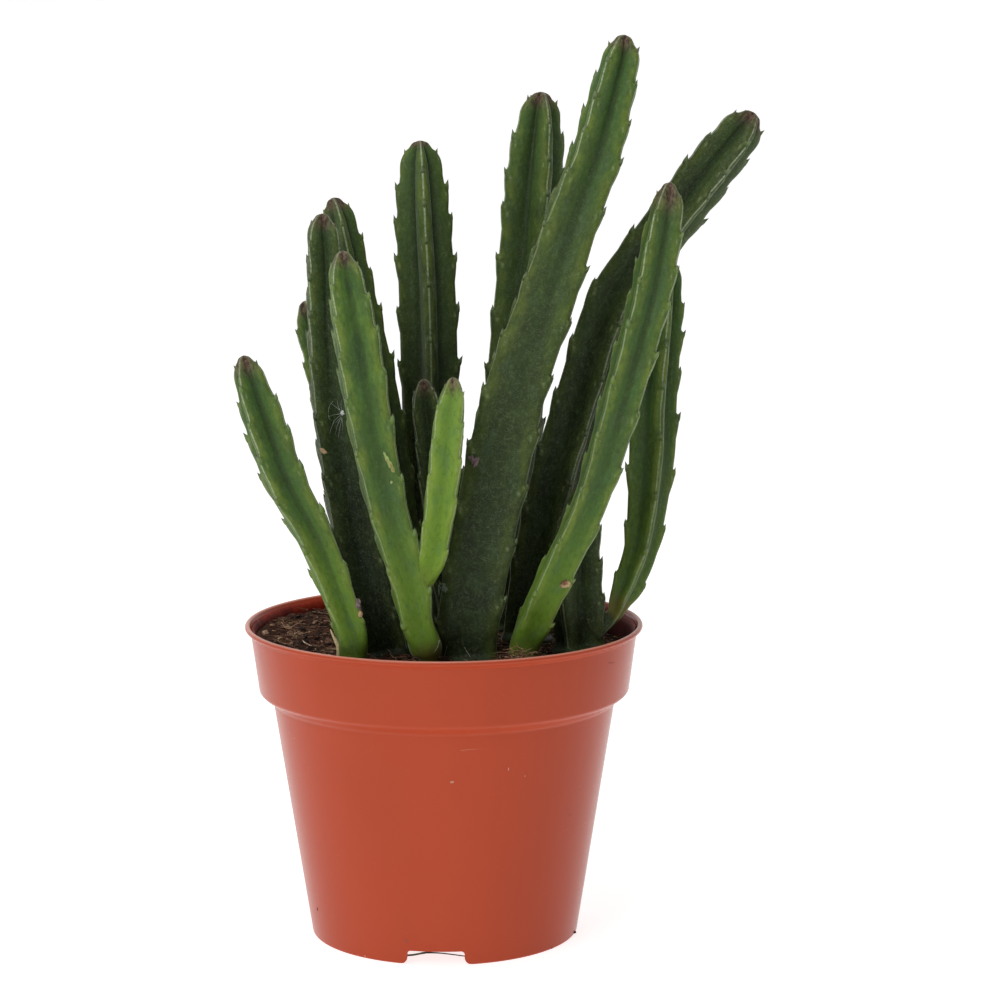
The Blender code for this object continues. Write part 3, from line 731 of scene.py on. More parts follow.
def skin_finish(name, settings):
    """Living stem skin: matt and faintly velvety, so its edges catch a pale rim of light.

    The skin reads four values at each point. "relief" holds the crest, the edge of a tooth's
    swelling, and the millimetres off the crest. "grain" is the point's place on the
    straightened stem, in millimetres, so that patterns run along the stem. "growth" holds the
    millimetres above the soil, the millimetres below the tip, and the stem's youth. "tone"
    holds the share up a tooth, the brown of the foot, and the millimetres of brown tip.
    """
    made, add = new_material(name)
    relief, grain, growth, tone = (
        add("Attribute", out="Vector", attribute_name=value) for value in POINT_VALUES)
    crest, edge, off_crest = add("SeparateXYZ", (relief,), "all")
    above_soil, below_tip, youth = add("SeparateXYZ", (growth,), "all")
    tooth, bark, browned = add("SeparateXYZ", (tone,), "all")

    # Patches about 6 mm long, mottling about 1 mm, wrinkles across the stem, 0.3 mm pores
    longer = add("VectorMath", (grain, (1.0, 1.0, 0.5)))
    hue_place = add("VectorMath", (longer, (31.0, 7.0, 3.0)), operation="ADD")
    banded = add("VectorMath", (grain, (0.3, 0.3, 1.6)))
    patches, hues, mottle, pores, wrinkles, net = (
        add("TexNoise", {"Vector": place, "Scale": scale, "Detail": detail, "Roughness": rough,
                         "Distortion": distortion})
        for place, scale, detail, rough, distortion in (
            (longer, 0.26, 3.0, 0.55, 0.0), (hue_place, 0.34, 3.0, 0.55, 0.0),
            (longer, 1.2, 4.0, 0.7, 0.0), (grain, 3.0, 2.0, 0.7, 0.0),
            (banded, 0.9, 3.0, 0.6, 0.5), (grain, 0.7, 2.0, 0.5, 1.2)))
    net = add("Math", (net, 0.5), operation="SUBTRACT")
    net = add("Math", (net,), operation="ABSOLUTE")

    # The last 90 mm under a tip are younger than the rest of the stem, and patches vary
    end = add("MapRange", (below_tip, 5.0, 95.0, 0.2, 0.0))
    age = add("Math", (youth, end), operation="ADD")
    uneven = add("MapRange", (patches, 0.3, 0.7, -0.1, 0.1))
    age = add("Math", (age, uneven), operation="ADD")
    # Painted shade: the first stop, darker than the old colour, darkens the oldest skin further for
    # the stems that stand in the others' shadow
    base = add("ValToRGB", (age,), stops=[
        (0.0, linear("182210")), (0.1, tuple(settings.old_colour)), (0.3, linear("33421F")),
        (0.52, linear("3C5225")), (0.76, tuple(settings.young_colour)), (1.0, linear("6A8C34"))])
    shoulder = add("Mix", (youth, linear("4A5620"), linear("82963A")))
    cool = add("Mix", (youth, linear("3A4934"), linear("4E7042")))
    brown = add("Mix", (add("MapRange", (mottle, 0.4, 0.6)), linear("40302A"), linear("7A6052")))
    ragged = add("Math", (below_tip, add("MapRange", (mottle, 0.3, 0.7, -0.8, 0.9))),
                 operation="ADD")
    colour = lay_over(add, base, (
        # The lower half of a young stem is brighter and yellower
        (linear("66881A"), (above_soil, 50.0, 10.0, 0.0, 0.75), (youth, 0.4, 0.65)),
        # Patches turn yellow-green towards the crests, and blue-green on the faces
        (shoulder, (crest, 0.45, 0.95, 0.05, 0.7), (hues, 0.4, 0.64, 0.3, 1.0),
         (age, 0.1, 0.6, 0.6, 1.0)),
        (cool, (hues, 0.52, 0.32, 0.0, 0.4), (crest, 0.95, 0.5, 0.2, 1.0)),
        # Mottling, light and dark
        (linear("7C8E5C"), (mottle, 0.5, 0.72, 0.0, 0.2)),
        (linear("1B2810"), (mottle, 0.5, 0.3, 0.0, 0.3)),
        # The grooves are darker, partly their own colour and partly painted shade, most of all near
        # an old stem's tip
        (linear("1A2812"), (crest, 0.4, 0.0, 0.0, 0.6), (below_tip, 110.0, 10.0, 0.45, 1.0),
         (youth, 0.55, 0.68, 1.0, 0.3)),
        # Pale pores, and a net of fine pale lines on old skin
        (linear("96A27E"), (pores, 0.6, 0.75, 0.0, 0.2)),
        (linear("8A967C"), (net, 0.022, 0.006), (youth, 0.6, 0.1, 0.02, 0.2)),
        # A pale line runs along each crest, partly paler skin and partly a painted highlight of the
        # rim light that a rounded crest catches, and round each tooth; both are clearest near the
        # tip
        (linear("A6B094"), (off_crest, 0.34, 0.06), (below_tip, 60.0, 6.0, 0.45, 0.9),
         (wrinkles, 0.35, 0.6, 0.45, 1.0)),
        (linear("93A070"), (edge, 0.3, 1.0, 0.0, 0.5), (wrinkles, 0.35, 0.6, 0.15, 1.0)),
        # A tooth is paler than the rib, and its point is dark
        (linear("8C9A76"), (tooth, 0.1, 0.5, 0.0, 0.35)),
        (linear("3A322C"), (tooth, 0.62, 0.95, 0.0, 0.85)),
        # The tip is purplish brown in its notch, and the foot of a young stem brown
        (brown, (ragged, browned, 1.2, 0.0, 0.95), (crest, 0.95, 0.4, 0.5, 1.0)),
        (linear("6A5428"), (above_soil, 6.5, 1.5, 0.0, 0.7), bark, (above_soil, -2.0, 0.0))))

    rough = add("MapRange", (patches, 0.3, 0.7, 0.44, 0.58))
    height = add("Math", (pores, add("Math", (wrinkles, 1.8))), operation="ADD")
    height = add("Math", (height, add("Math", (mottle, 1.2))), operation="ADD")
    end_finish(add, {
        "Base Color": colour, "Roughness": rough, "IOR": 1.42, "Specular IOR Level": 0.27,
        "Sheen Weight": 0.3, "Sheen Roughness": 0.25, "Sheen Tint": (0.85, 0.9, 0.78),
        "Subsurface Weight": 0.06, "Subsurface Radius": (0.7, 1.0, 0.3),
        "Subsurface Scale": 1.0 * MM}, height, 0.5, 0.16)
    return made


def plastic_finish(settings):
    """Injection-moulded polypropylene, satin: it mirrors bright surroundings at its edges.

    The mould leaves a faint orange peel and flow lines, and handling leaves fine scuffs.
    """
    made, add = new_material("moulded polypropylene")
    place = add("TexCoord", out="Object")
    # Flow marks about 20 mm long, grain about 0.5 mm wide, and scuffs that run round the pot
    flow_place = add("VectorMath", (place, (1.0, 1.0, 0.35)))
    flow = add("TexNoise",
               {"Vector": flow_place, "Scale": 45.0, "Detail": 3.0, "Roughness": 0.5})
    peel = add("TexNoise", {"Vector": place, "Scale": 1400.0, "Detail": 2.0, "Roughness": 0.5})
    scuff_place = add("VectorMath", (place, (1.0, 1.0, 7.0)))
    scuffs = add("TexNoise",
                 {"Vector": scuff_place, "Scale": 260.0, "Detail": 4.0, "Roughness": 0.75})
    main = tuple(settings.colour)
    deeper = tuple(value * 0.94 for value in main)
    above = add("SeparateXYZ", (place,), 2)
    colour = lay_over(add, main, (
        (deeper, (flow, 0.3, 0.7)),
        (linear("D2876C"), (scuffs, 0.7, 0.8, 0.0, 0.2)),
        # Painted highlight: the lip's top is paler, standing in for the light from overhead that it
        # reflects
        (linear("F2B29E"), (above, RIM_TOP - 0.5 * MM, RIM_TOP, 0.0, 0.55))))
    satin = add("MapRange", (flow, 0.3, 0.7, 0.23, 0.27))
    scuffed = add("MapRange", (scuffs, 0.66, 0.8, 0.0, 0.15))
    rough = add("Math", (satin, scuffed), operation="ADD")
    end_finish(add, {
        "Base Color": colour, "Roughness": rough, "IOR": 1.49, "Specular IOR Level": 0.18,
        "Subsurface Weight": 0.08, "Subsurface Radius": (1.0, 0.35, 0.2),
        "Subsurface Scale": 1.0 * MM}, peel, 0.12, 0.05)
    return made


def inner_shade_finish():
    """A dark film laid on the inner wall as painted shade: dull, dark red, deeper red towards the
    soil, and browner in runs down the wall.
    """
    made, add = new_material("peat film")
    place = add("TexCoord", out="Object")
    # Runs about 3 mm wide
    runs_place = add("VectorMath", (place, (1.0, 1.0, 0.3)))
    runs = add("TexNoise",
               {"Vector": runs_place, "Scale": 300.0, "Detail": 4.0, "Roughness": 0.65})
    above = add("SeparateXYZ", (place,), 2)
    # Painted shade: the film grows lighter up the wall and deeper red towards the soil
    dry = add("MapRange", (above, SOIL_TOP, RIM_TOP, -0.15, 0.25), interpolation_type="LINEAR")
    colour = add("ValToRGB", (add("Math", (runs, dry), operation="ADD"),), stops=[
        (0.25, linear("380A04")), (0.5, linear("641607")), (0.8, linear("922A10"))])
    end_finish(add, {"Base Color": colour, "Roughness": 0.55, "IOR": 1.45,
                     "Specular IOR Level": 0.12}, runs, 0.3, 0.1)
    return made


def peat_finish(settings):
    """Moist peat: a dark, dull crumb, lighter on the tops of its bump and painted black with shade
    in its hollows.
    """
    made, add = new_material("moist peat")
    place = add("TexCoord", out="Object")
    # Clods about 5 mm across and crumbs under 1 mm
    clods = add("TexNoise", {"Vector": place, "Scale": 210.0, "Detail": 6.0, "Roughness": 0.72})
    crumbs = add("TexVoronoi", {"Vector": place, "Scale": 1300.0, "Randomness": 1.0})
    main = tuple(settings.colour)
    darker = tuple(value * 0.3 for value in main)
    # Painted shade and light: the colour is darkest where the bump's clods are lowest and lightest
    # on their tops
    colour = add("ValToRGB", (clods,), stops=[
        (0.34, darker), (0.52, main), (0.64, linear("5A3826")), (0.76, linear("8A6046"))])
    colour = lay_over(add, colour, ((linear("6B4634"), (crumbs, 0.5, 0.1, 0.0, 0.35)),))
    height = add("Math", (clods, crumbs), operation="ADD")
    end_finish(add, {"Base Color": colour, "Roughness": 0.95, "IOR": 1.45,
                     "Specular IOR Level": 0.25}, height, 0.9, 0.6)
    return made


def litter_finish(name, dark, light, middle=None):
    """Dry bark and coir: dull fibres from near black to straw, each bit with its own tone."""
    middle = middle or tuple((a + b) / 2 for a, b in zip(dark, light))
    made, add = new_material(name)
    tone = add("Attribute", out="Vector", attribute_name="tone")
    tone = add("SeparateXYZ", (tone,))
    place = add("TexCoord", out="Object")
    # Fibres of the bark about 0.3 mm wide
    strands = add("TexNoise",
                  {"Vector": place, "Scale": 1500.0, "Detail": 3.0, "Roughness": 0.6})
    shade = add("Math", (tone, add("MapRange", (strands, 0.3, 0.7, -0.2, 0.2))), operation="ADD")
    colour = add("ValToRGB", (shade,), stops=[(0.0, dark), (0.5, middle), (1.0, light)])
    end_finish(add, {"Base Color": colour, "Roughness": 0.85, "IOR": 1.45,
                     "Specular IOR Level": 0.3}, strands, 0.6, 0.15)
    return made


def floor_finish():
    """A white studio table, lit a little from below, so shadows on it stay faint."""
    made, add = new_material("lit white acrylic")
    place = add("TexCoord", out="Object")
    haze = add("TexNoise", {"Vector": place, "Scale": 3.0, "Detail": 2.0})
    colour = lay_over(add, linear("BCBCBB"), ((linear("C0C0BF"), (haze, 0.3, 0.7)),))
    shader = add("BsdfPrincipled",
                 {"Base Color": colour, "Roughness": 0.7, "Specular IOR Level": 0.2,
                  "Emission Color": (1.0, 1.0, 1.0), "Emission Strength": 0.815})
    add("OutputMaterial", (shader,))
    return made


def arc(centre, radius, start, end, steps):
    """Points on an arc, from one angle to another, in degrees."""
    turns = [math.radians(start + (end - start) * i / steps) for i in range(steps + 1)]
    return [(centre[0] + radius * math.cos(turn), centre[1] + radius * math.sin(turn))
            for turn in turns]


def bend_between(start, end, steps):
    """Points of an S-shaped step of the wall, from one point to another."""
    found = []
    for i in range(steps + 1):
        share = i / steps
        eased = share * share * (3 - 2 * share)
        found.append((start[0] + (end[0] - start[0]) * eased,
                      start[1] + (end[1] - start[1]) * share))
    return found


def pot_profile(wall, bead):
    """(radius, height) from the floor's upper side out, up, over the lip and down."""
    floor_top = FLOOR_LIFT + FLOOR
    flare = (BODY_TOP_R - FOOT_R) / BODY_TOP
    corner = FOOT_R + flare * floor_top - wall
    outside_step = bend_between((BODY_TOP_R, BODY_TOP), (BAND_LOW_R, BAND_LOW), 10)
    inside_step = [(r - wall, z + wall / 2) for r, z in outside_step]
    lip = arc((RIM_R - bead, RIM_TOP - bead), bead, LIP_START, LIP_END, LIP_FACES)
    fillet = arc((corner - wall, floor_top + wall), wall, -90, 0, 5)
    foot = arc((FOOT_R - FOOT_EDGE, FOOT_EDGE), FOOT_EDGE, 0, -90, 5)
    return (fillet + inside_step + [(BAND_TOP_R - wall, BAND_TOP)] + lip
            + [(BAND_TOP_R, BAND_TOP)] + outside_step[::-1] + foot
            + [(FOOT_R - FOOT_RING, 0), (FOOT_R - FOOT_RING + RING_DRAFT, FLOOR_LIFT),
               (FOOT_R / 2, FLOOR_LIFT)])


def place_cutter(name, turn, reach):
    """Turn the cutter that was just made on the X axis to its place round the pot's axis."""
    cutter = bpy.context.object
    cutter.matrix_world = (Matrix.Translation((POT_X, 0, 0)) @ Matrix.Rotation(turn, 4, "Z")
                           @ Matrix.Translation((reach, 0, 0)) @ cutter.matrix_world)
    return settle(name)


def slot_block():
    """A slot's cutter: a block with a rounded roof, and sides that curve out at the ground."""
    deselect()
    bpy.ops.mesh.primitive_cube_add(size=1, scale=(SLOT_REACH, SLOT_WIDTH, SLOT_HEIGHT * 2))
    cutter = bpy.context.object
    bpy.ops.object.transform_apply(scale=True)
    edges_to_edit(cutter, lambda a, b: min(a.z, b.z) > 0 and abs(a.y - b.y) < TINY)
    bpy.ops.mesh.bevel(offset=SLOT_CORNER, segments=SLOT_CORNER_FACES)
    bpy.ops.object.mode_set(mode="OBJECT")
    cut_edges(cutter, lambda a, b: abs(a.z - b.z) > SLOT_HEIGHT, SLOT_CUTS)
    co = points_of(cutter.data)
    under = np.clip(SLOT_FLARE - co[:, 2], 0, SLOT_FLARE)
    curve = SLOT_FLARE - np.sqrt(SLOT_FLARE ** 2 - under ** 2)
    co[:, 1] += np.sign(co[:, 1]) * curve
    move_points(cutter.data, co)


def turned_form(name, sides, profile):
    """Extrude a disc through rings of (radius, height), like clay on a wheel."""
    (radius, height), *rest = profile
    deselect()
    bpy.ops.mesh.primitive_circle_add(vertices=sides, radius=radius, fill_type="NGON",
                                      location=(0, 0, height))
    made = settle(name)
    bpy.ops.object.mode_set(mode="EDIT")
    for next_radius, next_height in rest:
        bpy.ops.mesh.extrude_region_move(
            TRANSFORM_OT_translate={"value": (0, 0, next_height - height)})
        scale = next_radius / radius
        bpy.ops.transform.resize(value=(scale, scale, 1), center_override=(0, 0, 0))
        radius, height = next_radius, next_height
    bpy.ops.object.mode_set(mode="OBJECT")
    face_out(made)
    return made


def unround(piece, amount):
    """A thin wall is never quite round: it wanders by a fraction of a millimetre."""
    co = points_of(piece.data)
    for i, point in enumerate(co):
        wander = noise.noise(Vector(point) * WALL_WAVES)
        out = Vector((point[0] - POT_X, point[1], 0))
        if out.length > 0:
            co[i] += np.array(out.normalized() * wander * amount * min(1, point[2] / BODY_TOP))
    move_points(piece.data, co)


def build_shade_film(settings):
    """A dark film of painted shade on the inner wall, up the flare that leads to the lip."""
    turn = math.radians(180 - LIP_START)
    lip_r = RIM_R - settings.bead * (1 + math.cos(turn))
    lip_z = RIM_TOP - settings.bead * (1 - math.sin(turn))
    flare = (lip_r - BAND_TOP_R + settings.wall) / (lip_z - BAND_TOP)
    deselect()
    bpy.ops.mesh.primitive_cylinder_add(vertices=POT_SIDES, radius=1, depth=1,
                                        end_fill_type="NOTHING", location=(0, 0, 0.5))
    film = settle("pot_peat_film")
    cut_edges(film, upright, FILM_CUTS)
    co = points_of(film.data)
    for i, (x, y, share) in enumerate(co):
        top = FILM_TOP + FILM_FRAY * noise.noise(Vector((x, y, 0)) * 9)
        height = FILM_LOW + (top - FILM_LOW) * share
        reach = wall_inside(min(height, BAND_TOP), settings.wall)
        reach += flare * max(0, height - BAND_TOP) - FILM_GAP
        co[i] = (x * reach + POT_X, y * reach, height)
    move_points(film.data, co)
    unround(film, settings.unevenness)
    face_out(film)
    apply_modifier(film, "SOLIDIFY", thickness=FILM_THICK, offset=-1)
    smooth(film)
    return finish_piece(film, inner_shade_finish(), "soil")


def build_pot(settings):
    """Turn the pot's wall, cut its slots and drains, and let it wander out of round."""
    profile = pot_profile(settings.wall, settings.bead)
    pot = turned_form("pot_shell", POT_SIDES, [(FOOT_R / 2, profile[0][1])] + profile)
    co = points_of(pot.data)
    co[:, 0] += POT_X
    move_points(pot.data, co)

    cutters = []
    for i in range(SLOT_COUNT):
        slot_block()
        turn = SLOT_FIRST + i * math.tau / SLOT_COUNT
        cutters.append(place_cutter(f"slot_cutter_{i + 1}", turn, FOOT_R))
    for i in range(DRAIN_COUNT):
        deselect()
        bpy.ops.mesh.primitive_cylinder_add(vertices=DRAIN_SIDES, radius=DRAIN_R,
                                            depth=FLOOR * 4,
                                            location=(0, 0, FLOOR_LIFT + FLOOR / 2))
        turn = (i + 0.5) * math.tau / DRAIN_COUNT
        cutters.append(place_cutter(f"drain_cutter_{i + 1}", turn, DRAIN_RING_R))
    for cutter in cutters:
        apply_modifier(pot, "BOOLEAN", operation="DIFFERENCE", object=cutter)
    remove_pieces(*cutters)

    unround(pot, settings.unevenness)
    pick(pot)
    bpy.ops.object.shade_smooth_by_angle(angle=SHARP_ANGLE)
    return finish_piece(pot, plastic_finish(settings), "pot_plastic", "pot")


def camera_matrix():
    """The camera's place and turn, from its pitch, yaw and roll."""
    ahead = Vector((math.sin(CAMERA_YAW) * math.cos(CAMERA_PITCH),
                    math.cos(CAMERA_YAW) * math.cos(CAMERA_PITCH), -math.sin(CAMERA_PITCH)))
    right = Vector((math.cos(CAMERA_YAW), -math.sin(CAMERA_YAW), 0))
    up = right.cross(ahead)
    turned = Matrix((right, up, -ahead)).transposed().to_4x4()
    return Matrix.Translation(CAMERA_PLACE) @ turned @ Matrix.Rotation(CAMERA_ROLL, 4, "Z")


def cast(pixel, pieces):
    """What a ray through a pixel of the photograph meets first: distance, place, normal."""
    half = IMAGE / 2
    scale = SENSOR / LENS / IMAGE
    ray = Vector(((pixel[0] - half) * scale, (half - pixel[1]) * scale, -1))
    ray = (camera_matrix().to_3x3() @ ray).normalized()
    hits = []
    for piece in pieces:
        found, place, normal, _ = piece.ray_cast(CAMERA_PLACE, ray)
        if found:
            hits.append(((place - CAMERA_PLACE).length, place, normal))
    return min(hits, key=lambda hit: hit[0], default=None)


def seen_at(pixel, pieces):
    """The place and the normal at a pixel. One just off a piece's edge is moved onto it."""
    bpy.context.view_layer.update()
    x, y = pixel
    for reach in range(EDGE_REACH):
        for k in range(EDGE_WAYS if reach else 1):
            turn = k * math.tau / EDGE_WAYS
            hit = cast((x + reach * math.cos(turn), y + reach * math.sin(turn)), pieces)
            if hit:
                return hit[1], hit[2]
    raise RuntimeError(f"no piece lies at pixel {pixel}")


def wall_inside(height, wall):
    """The pot's inner radius within its band."""
    share = (height - BAND_LOW) / (BAND_TOP - BAND_LOW)
    return BAND_LOW_R + (BAND_TOP_R - BAND_LOW_R) * share - wall


def soil_level(x, y, lump):
    """Height of the soil's surface at a place from the pot's axis."""
    place = Vector((x, y, 0)) / MM
    clod = noise.fractal(place * CLOD_WAVES, 1.0, 2.0, 3)
    crumb = noise.fractal(place * CRUMB_WAVES + Vector((7, 3, 1)), 0.9, 2.1, 4)
    x_off, y_off = (place.x - HEAP.x) / HEAP_SPREAD.x, (place.y - HEAP.y) / HEAP_SPREAD.y
    heap = HEAP_HEIGHT * math.exp(-x_off ** 2 - y_off ** 2)
    return SOIL_TOP - SOIL_SLOPE * x + heap + lump * (CLOD_SHARE * clod + CRUMB_SHARE * crumb)


def build_soil(settings, pot_settings):
    """Fill the pot with a disc whose top is cut fine and raised into clods."""
    edge_r = wall_inside(SOIL_TOP, pot_settings.wall) - SOIL_GAP
    deselect()
    bpy.ops.mesh.primitive_cylinder_add(vertices=SOIL_SPOKES, radius=edge_r, depth=1,
                                        end_fill_type="TRIFAN", location=(0, 0, 0.5))
    soil = settle("soil_bed")
    cut_edges(soil, lambda a, b: min(a.z, b.z) > 0.5 and min(a.xy.length, b.xy.length) < MM,
              SOIL_RINGS)
    cut_edges(soil, upright, SOIL_SIDE_CUTS)
    co = points_of(soil.data)
    for i, (x, y, share) in enumerate(co):
        if share > 0.99:
            height = soil_level(x, y, settings.lump)
            scale = (wall_inside(height, pot_settings.wall) - SOIL_GAP) / edge_r
        else:
            # Its highest cut, at three quarters, lies level with the top of the pot's body
            height = SOIL_BOTTOM + (BODY_TOP - SOIL_BOTTOM) * share * 4 / 3
            narrow = FOOT_R + (BODY_TOP_R - FOOT_R) * height / BODY_TOP
            scale = (narrow - pot_settings.wall - SOIL_SIDE_GAP) / edge_r
        co[i] = (x * scale + POT_X, y * scale, height)
    move_points(soil.data, co)
    smooth(soil)
    return finish_piece(soil, peat_finish(settings), "soil", "soil")


def free_places(count, margin, draw):
    """Random places on the soil, from the pot's axis, that no stem stands on."""
    feet = [tuple(value * MM for value in stem.route[0]) for stem in STEMS.values()]
    limit = wall_inside(SOIL_TOP, WALL) - margin
    found = []
    while len(found) < count:
        turn = draw.uniform(0, math.tau)
        reach = limit * math.sqrt(draw.random())
        x, y = reach * math.cos(turn), reach * math.sin(turn)
        if all(math.hypot(x - foot[0], y - foot[1]) > foot[3] for foot in feet):
            found.append((x, y))
    return found


def copy_of(pattern, matrix, values):
    """A copy of a pattern with its own mesh, moved into place, with its point values."""
    mesh = pattern.data.copy()
    mesh.transform(matrix)
    for name, value in values.items():
        write_values(mesh, name, value)
    made = bpy.data.objects.new(pattern.name + "_copy", mesh)
    bpy.context.scene.collection.objects.link(made)
    return made


def join_pieces(name, pieces):
    """One piece of all these, with this name."""
    pick(*pieces)
    bpy.ops.object.join()
    joined = bpy.context.object
    joined.name = joined.data.name = name
    return joined


def crumb_pattern(seed):
    """One piece of bark: a ball with flats knocked on it."""
    deselect()
    bpy.ops.mesh.primitive_ico_sphere_add(subdivisions=2, radius=1)
    crumb = settle(f"crumb_pattern_{seed}")
    draw = random.Random(seed)
    sides = [Vector([draw.gauss(0, 1) for _ in range(3)]).normalized()
             for _ in range(BARK_FLATS)]
    co = points_of(crumb.data)
    for i, point in enumerate(co):
        place = Vector(point)
        for side in sides:
            over = place.dot(side) - draw.uniform(0.5, 0.55)
            if over > 0:
                place -= side * over
        co[i] = place
    move_points(crumb.data, co)
    return crumb


def build_crumbs(settings):
    """Bits of bark and peat scattered on the soil."""
    draw = random.Random(31)
    patterns = [crumb_pattern(seed) for seed in (1, 2, 3)]
    bits = []
    for x, y in free_places(settings.crumbs, 2 * MM, draw):
        size = draw.choice(BARK_SIZES) * MM * draw.uniform(0.8, 1.3)
        long, flat = draw.uniform(1.0, 2.2), draw.uniform(0.35, 0.9)
        z = soil_level(x, y, settings.lump) + size * 0.15
        turn = Matrix.Rotation(draw.uniform(0, math.tau), 4, "Z")
        tilt = Matrix.Rotation(draw.gauss(0, 0.45), 4, "X")
        matrix = (Matrix.Translation((x + POT_X, y, z)) @ turn @ tilt
                  @ Matrix.Diagonal((size * long, size, size * flat, 1)))
        tone = draw.random() ** 2.2
        bits.append(copy_of(draw.choice(patterns), matrix, {"tone": (tone, 0, 0)}))
    crumbs = join_pieces("soil_crumbs", bits)
    remove_pieces(*patterns)
    finish = litter_finish("composted bark", linear("160C08"), linear("B08C70"), linear("553222"))
    return finish_piece(crumbs, finish, "soil")


def tube(name, points, radii, sides=5):
    """A thin closed tube through points, from a curve with a bevel."""
    curve = bpy.data.curves.new(name, "CURVE")
    curve.dimensions = "3D"
    curve.bevel_depth = 1.0
    curve.bevel_resolution = max(0, sides // 2 - 1)
    curve.use_fill_caps = True
    line = curve.splines.new("POLY")
    line.points.add(len(points) - 1)
    for spot, point, radius in zip(line.points, points, radii):
        spot.co = (*point, 1)
        spot.radius = radius
    holder = bpy.data.objects.new(name, curve)
    bpy.context.scene.collection.objects.link(holder)
    pick(holder)
    bpy.ops.object.convert(target="MESH")
    made = bpy.context.object
    made.data.name = name
    face_out(made)
    return made


def build_fibres(settings):
    """Coir fibres that lie curled on the soil, and a few that stand off it."""
    draw = random.Random(12)
    patterns = []
    for i in range(FIBRE_KINDS):
        heading, place = 0.0, Vector((-0.5, 0, 0))
        points = [place.copy()]
        for _ in range(FIBRE_PARTS):
            heading += draw.gauss(0, 0.45)
            step = Vector((math.cos(heading), math.sin(heading), draw.gauss(0, 0.1)))
            place += step / FIBRE_PARTS
            points.append(place.copy())
        # A fibre is thickest in its middle
        radii = [FIBRE_THICK * (1 - 0.6 * abs(k / (FIBRE_PARTS / 2) - 1))
                 for k in range(FIBRE_PARTS + 1)]
        patterns.append(tube(f"fibre_pattern_{i + 1}", points, radii))
    bits = []
    places = free_places(settings.fibres, 2.5 * MM, draw)
    (left, top), (right, low) = LITTER_PATCH
    bed = [bpy.data.objects["soil_bed"]]
    for _ in range(PATCH_FIBRES):
        pixel = (draw.uniform(left, right), draw.uniform(top, low))
        place = seen_at(pixel, bed)[0]
        places.append((place.x - POT_X, place.y))
    for count, (x, y) in enumerate(places):
        in_patch = count >= settings.fibres
        room = wall_inside(SOIL_TOP, WALL) - math.hypot(x, y)
        length = min(draw.uniform(*FIBRE_LENGTHS) * MM, room * 1.7)
        thick = draw.uniform(0.35, 1.0) * FIBRE_DEPTH
        if in_patch:
            length = min(length, draw.uniform(*PATCH_LENGTHS) * MM)
        z = soil_level(x, y, settings.lump) + draw.uniform(0.2, 1.0) * MM
        turn = Matrix.Rotation(draw.uniform(0, math.tau), 4, "Z")
        tilt = Matrix.Rotation(draw.gauss(0, 0.14), 4, "Y")
        shade = draw.random() ** 1.2
        if in_patch:
            # Dry litter is paler and coarser, and stands off the soil
            shade = draw.uniform(0.6, 1.0)
            z += 0.6 * MM
            thick *= 1.7
            tilt = Matrix.Rotation(draw.gauss(0, 0.6), 4, "Y")
        matrix = (Matrix.Translation((x + POT_X, y, z)) @ turn @ tilt
                  @ Matrix.Diagonal((length, length, thick, 1)))
        bits.append(copy_of(draw.choice(patterns), matrix, {"tone": (shade, 0, 0)}))
    fibres = join_pieces("soil_fibres", bits)
    remove_pieces(*patterns)
    finish = litter_finish("dry coir", linear("1E120B"), tuple(settings.fibre_colour),
                           linear("6E4633"))
    return finish_piece(fibres, finish, "soil")


def catmull_rom(a, b, c, d, t):
    """The point a share t of the way from b to c, on a smooth curve through all four."""
    return 0.5 * ((2 * b) + (c - a) * t + (2 * a - 5 * b + 4 * c - d) * t * t
                  + (3 * b - a - 3 * c + d) * t ** 3)


def walk(route, rooted):
    """Follow a smooth curve through the route: arrays of distance, point and rib radius."""
    stations = [(Vector((x, y, z)) * MM, r * MM) for x, y, z, r in route]
    first, first_r = stations[0]
    second = stations[1][0]
    before = first - Vector((0, 0, (second - first).length)) if rooted else 2 * first - second
    last, last_r = stations[-1]
    points = ([(before, first_r)] + stations + [(2 * last - stations[-2][0], last_r)])
    path, radii = [], []
    for i in range(1, len(points) - 2):
        (a, ar), (b, br), (c, cr), (d, dr) = points[i - 1:i + 3]
        for k in range(ROUTE_STEPS):
            t = k / ROUTE_STEPS
            path.append(catmull_rom(a, b, c, d, t))
            radii.append(max(catmull_rom(ar, br, cr, dr, t), min(br, cr)))
    path, radii = np.array(path + [last]), np.array(radii + [last_r])
    steps = np.linalg.norm(np.diff(path, axis=0), axis=1)
    distance = np.concatenate(([0.0], np.cumsum(steps)))
    if rooted:
        # The foot goes straight on down into the soil
        path = np.vstack((path[0] - (0, 0, FOOT_DEPTH), path))
        radii = np.concatenate(([radii[0]], radii))
        distance = np.concatenate(([-FOOT_DEPTH], distance))
    return distance, path, radii


def tooth_rings(length):
    """Distances from the foot to the rings of teeth, from the tip down."""
    found = []
    under_tip = FIRST_TEETH
    while length - under_tip > LOWEST_TEETH:
        found.append(length - under_tip)
        widening = float(smooth_share((under_tip - TIP_ZONE) / (STEM_ZONE - TIP_ZONE)))
        under_tip += TIP_PITCH + (STEM_PITCH - TIP_PITCH) * widening
    return found


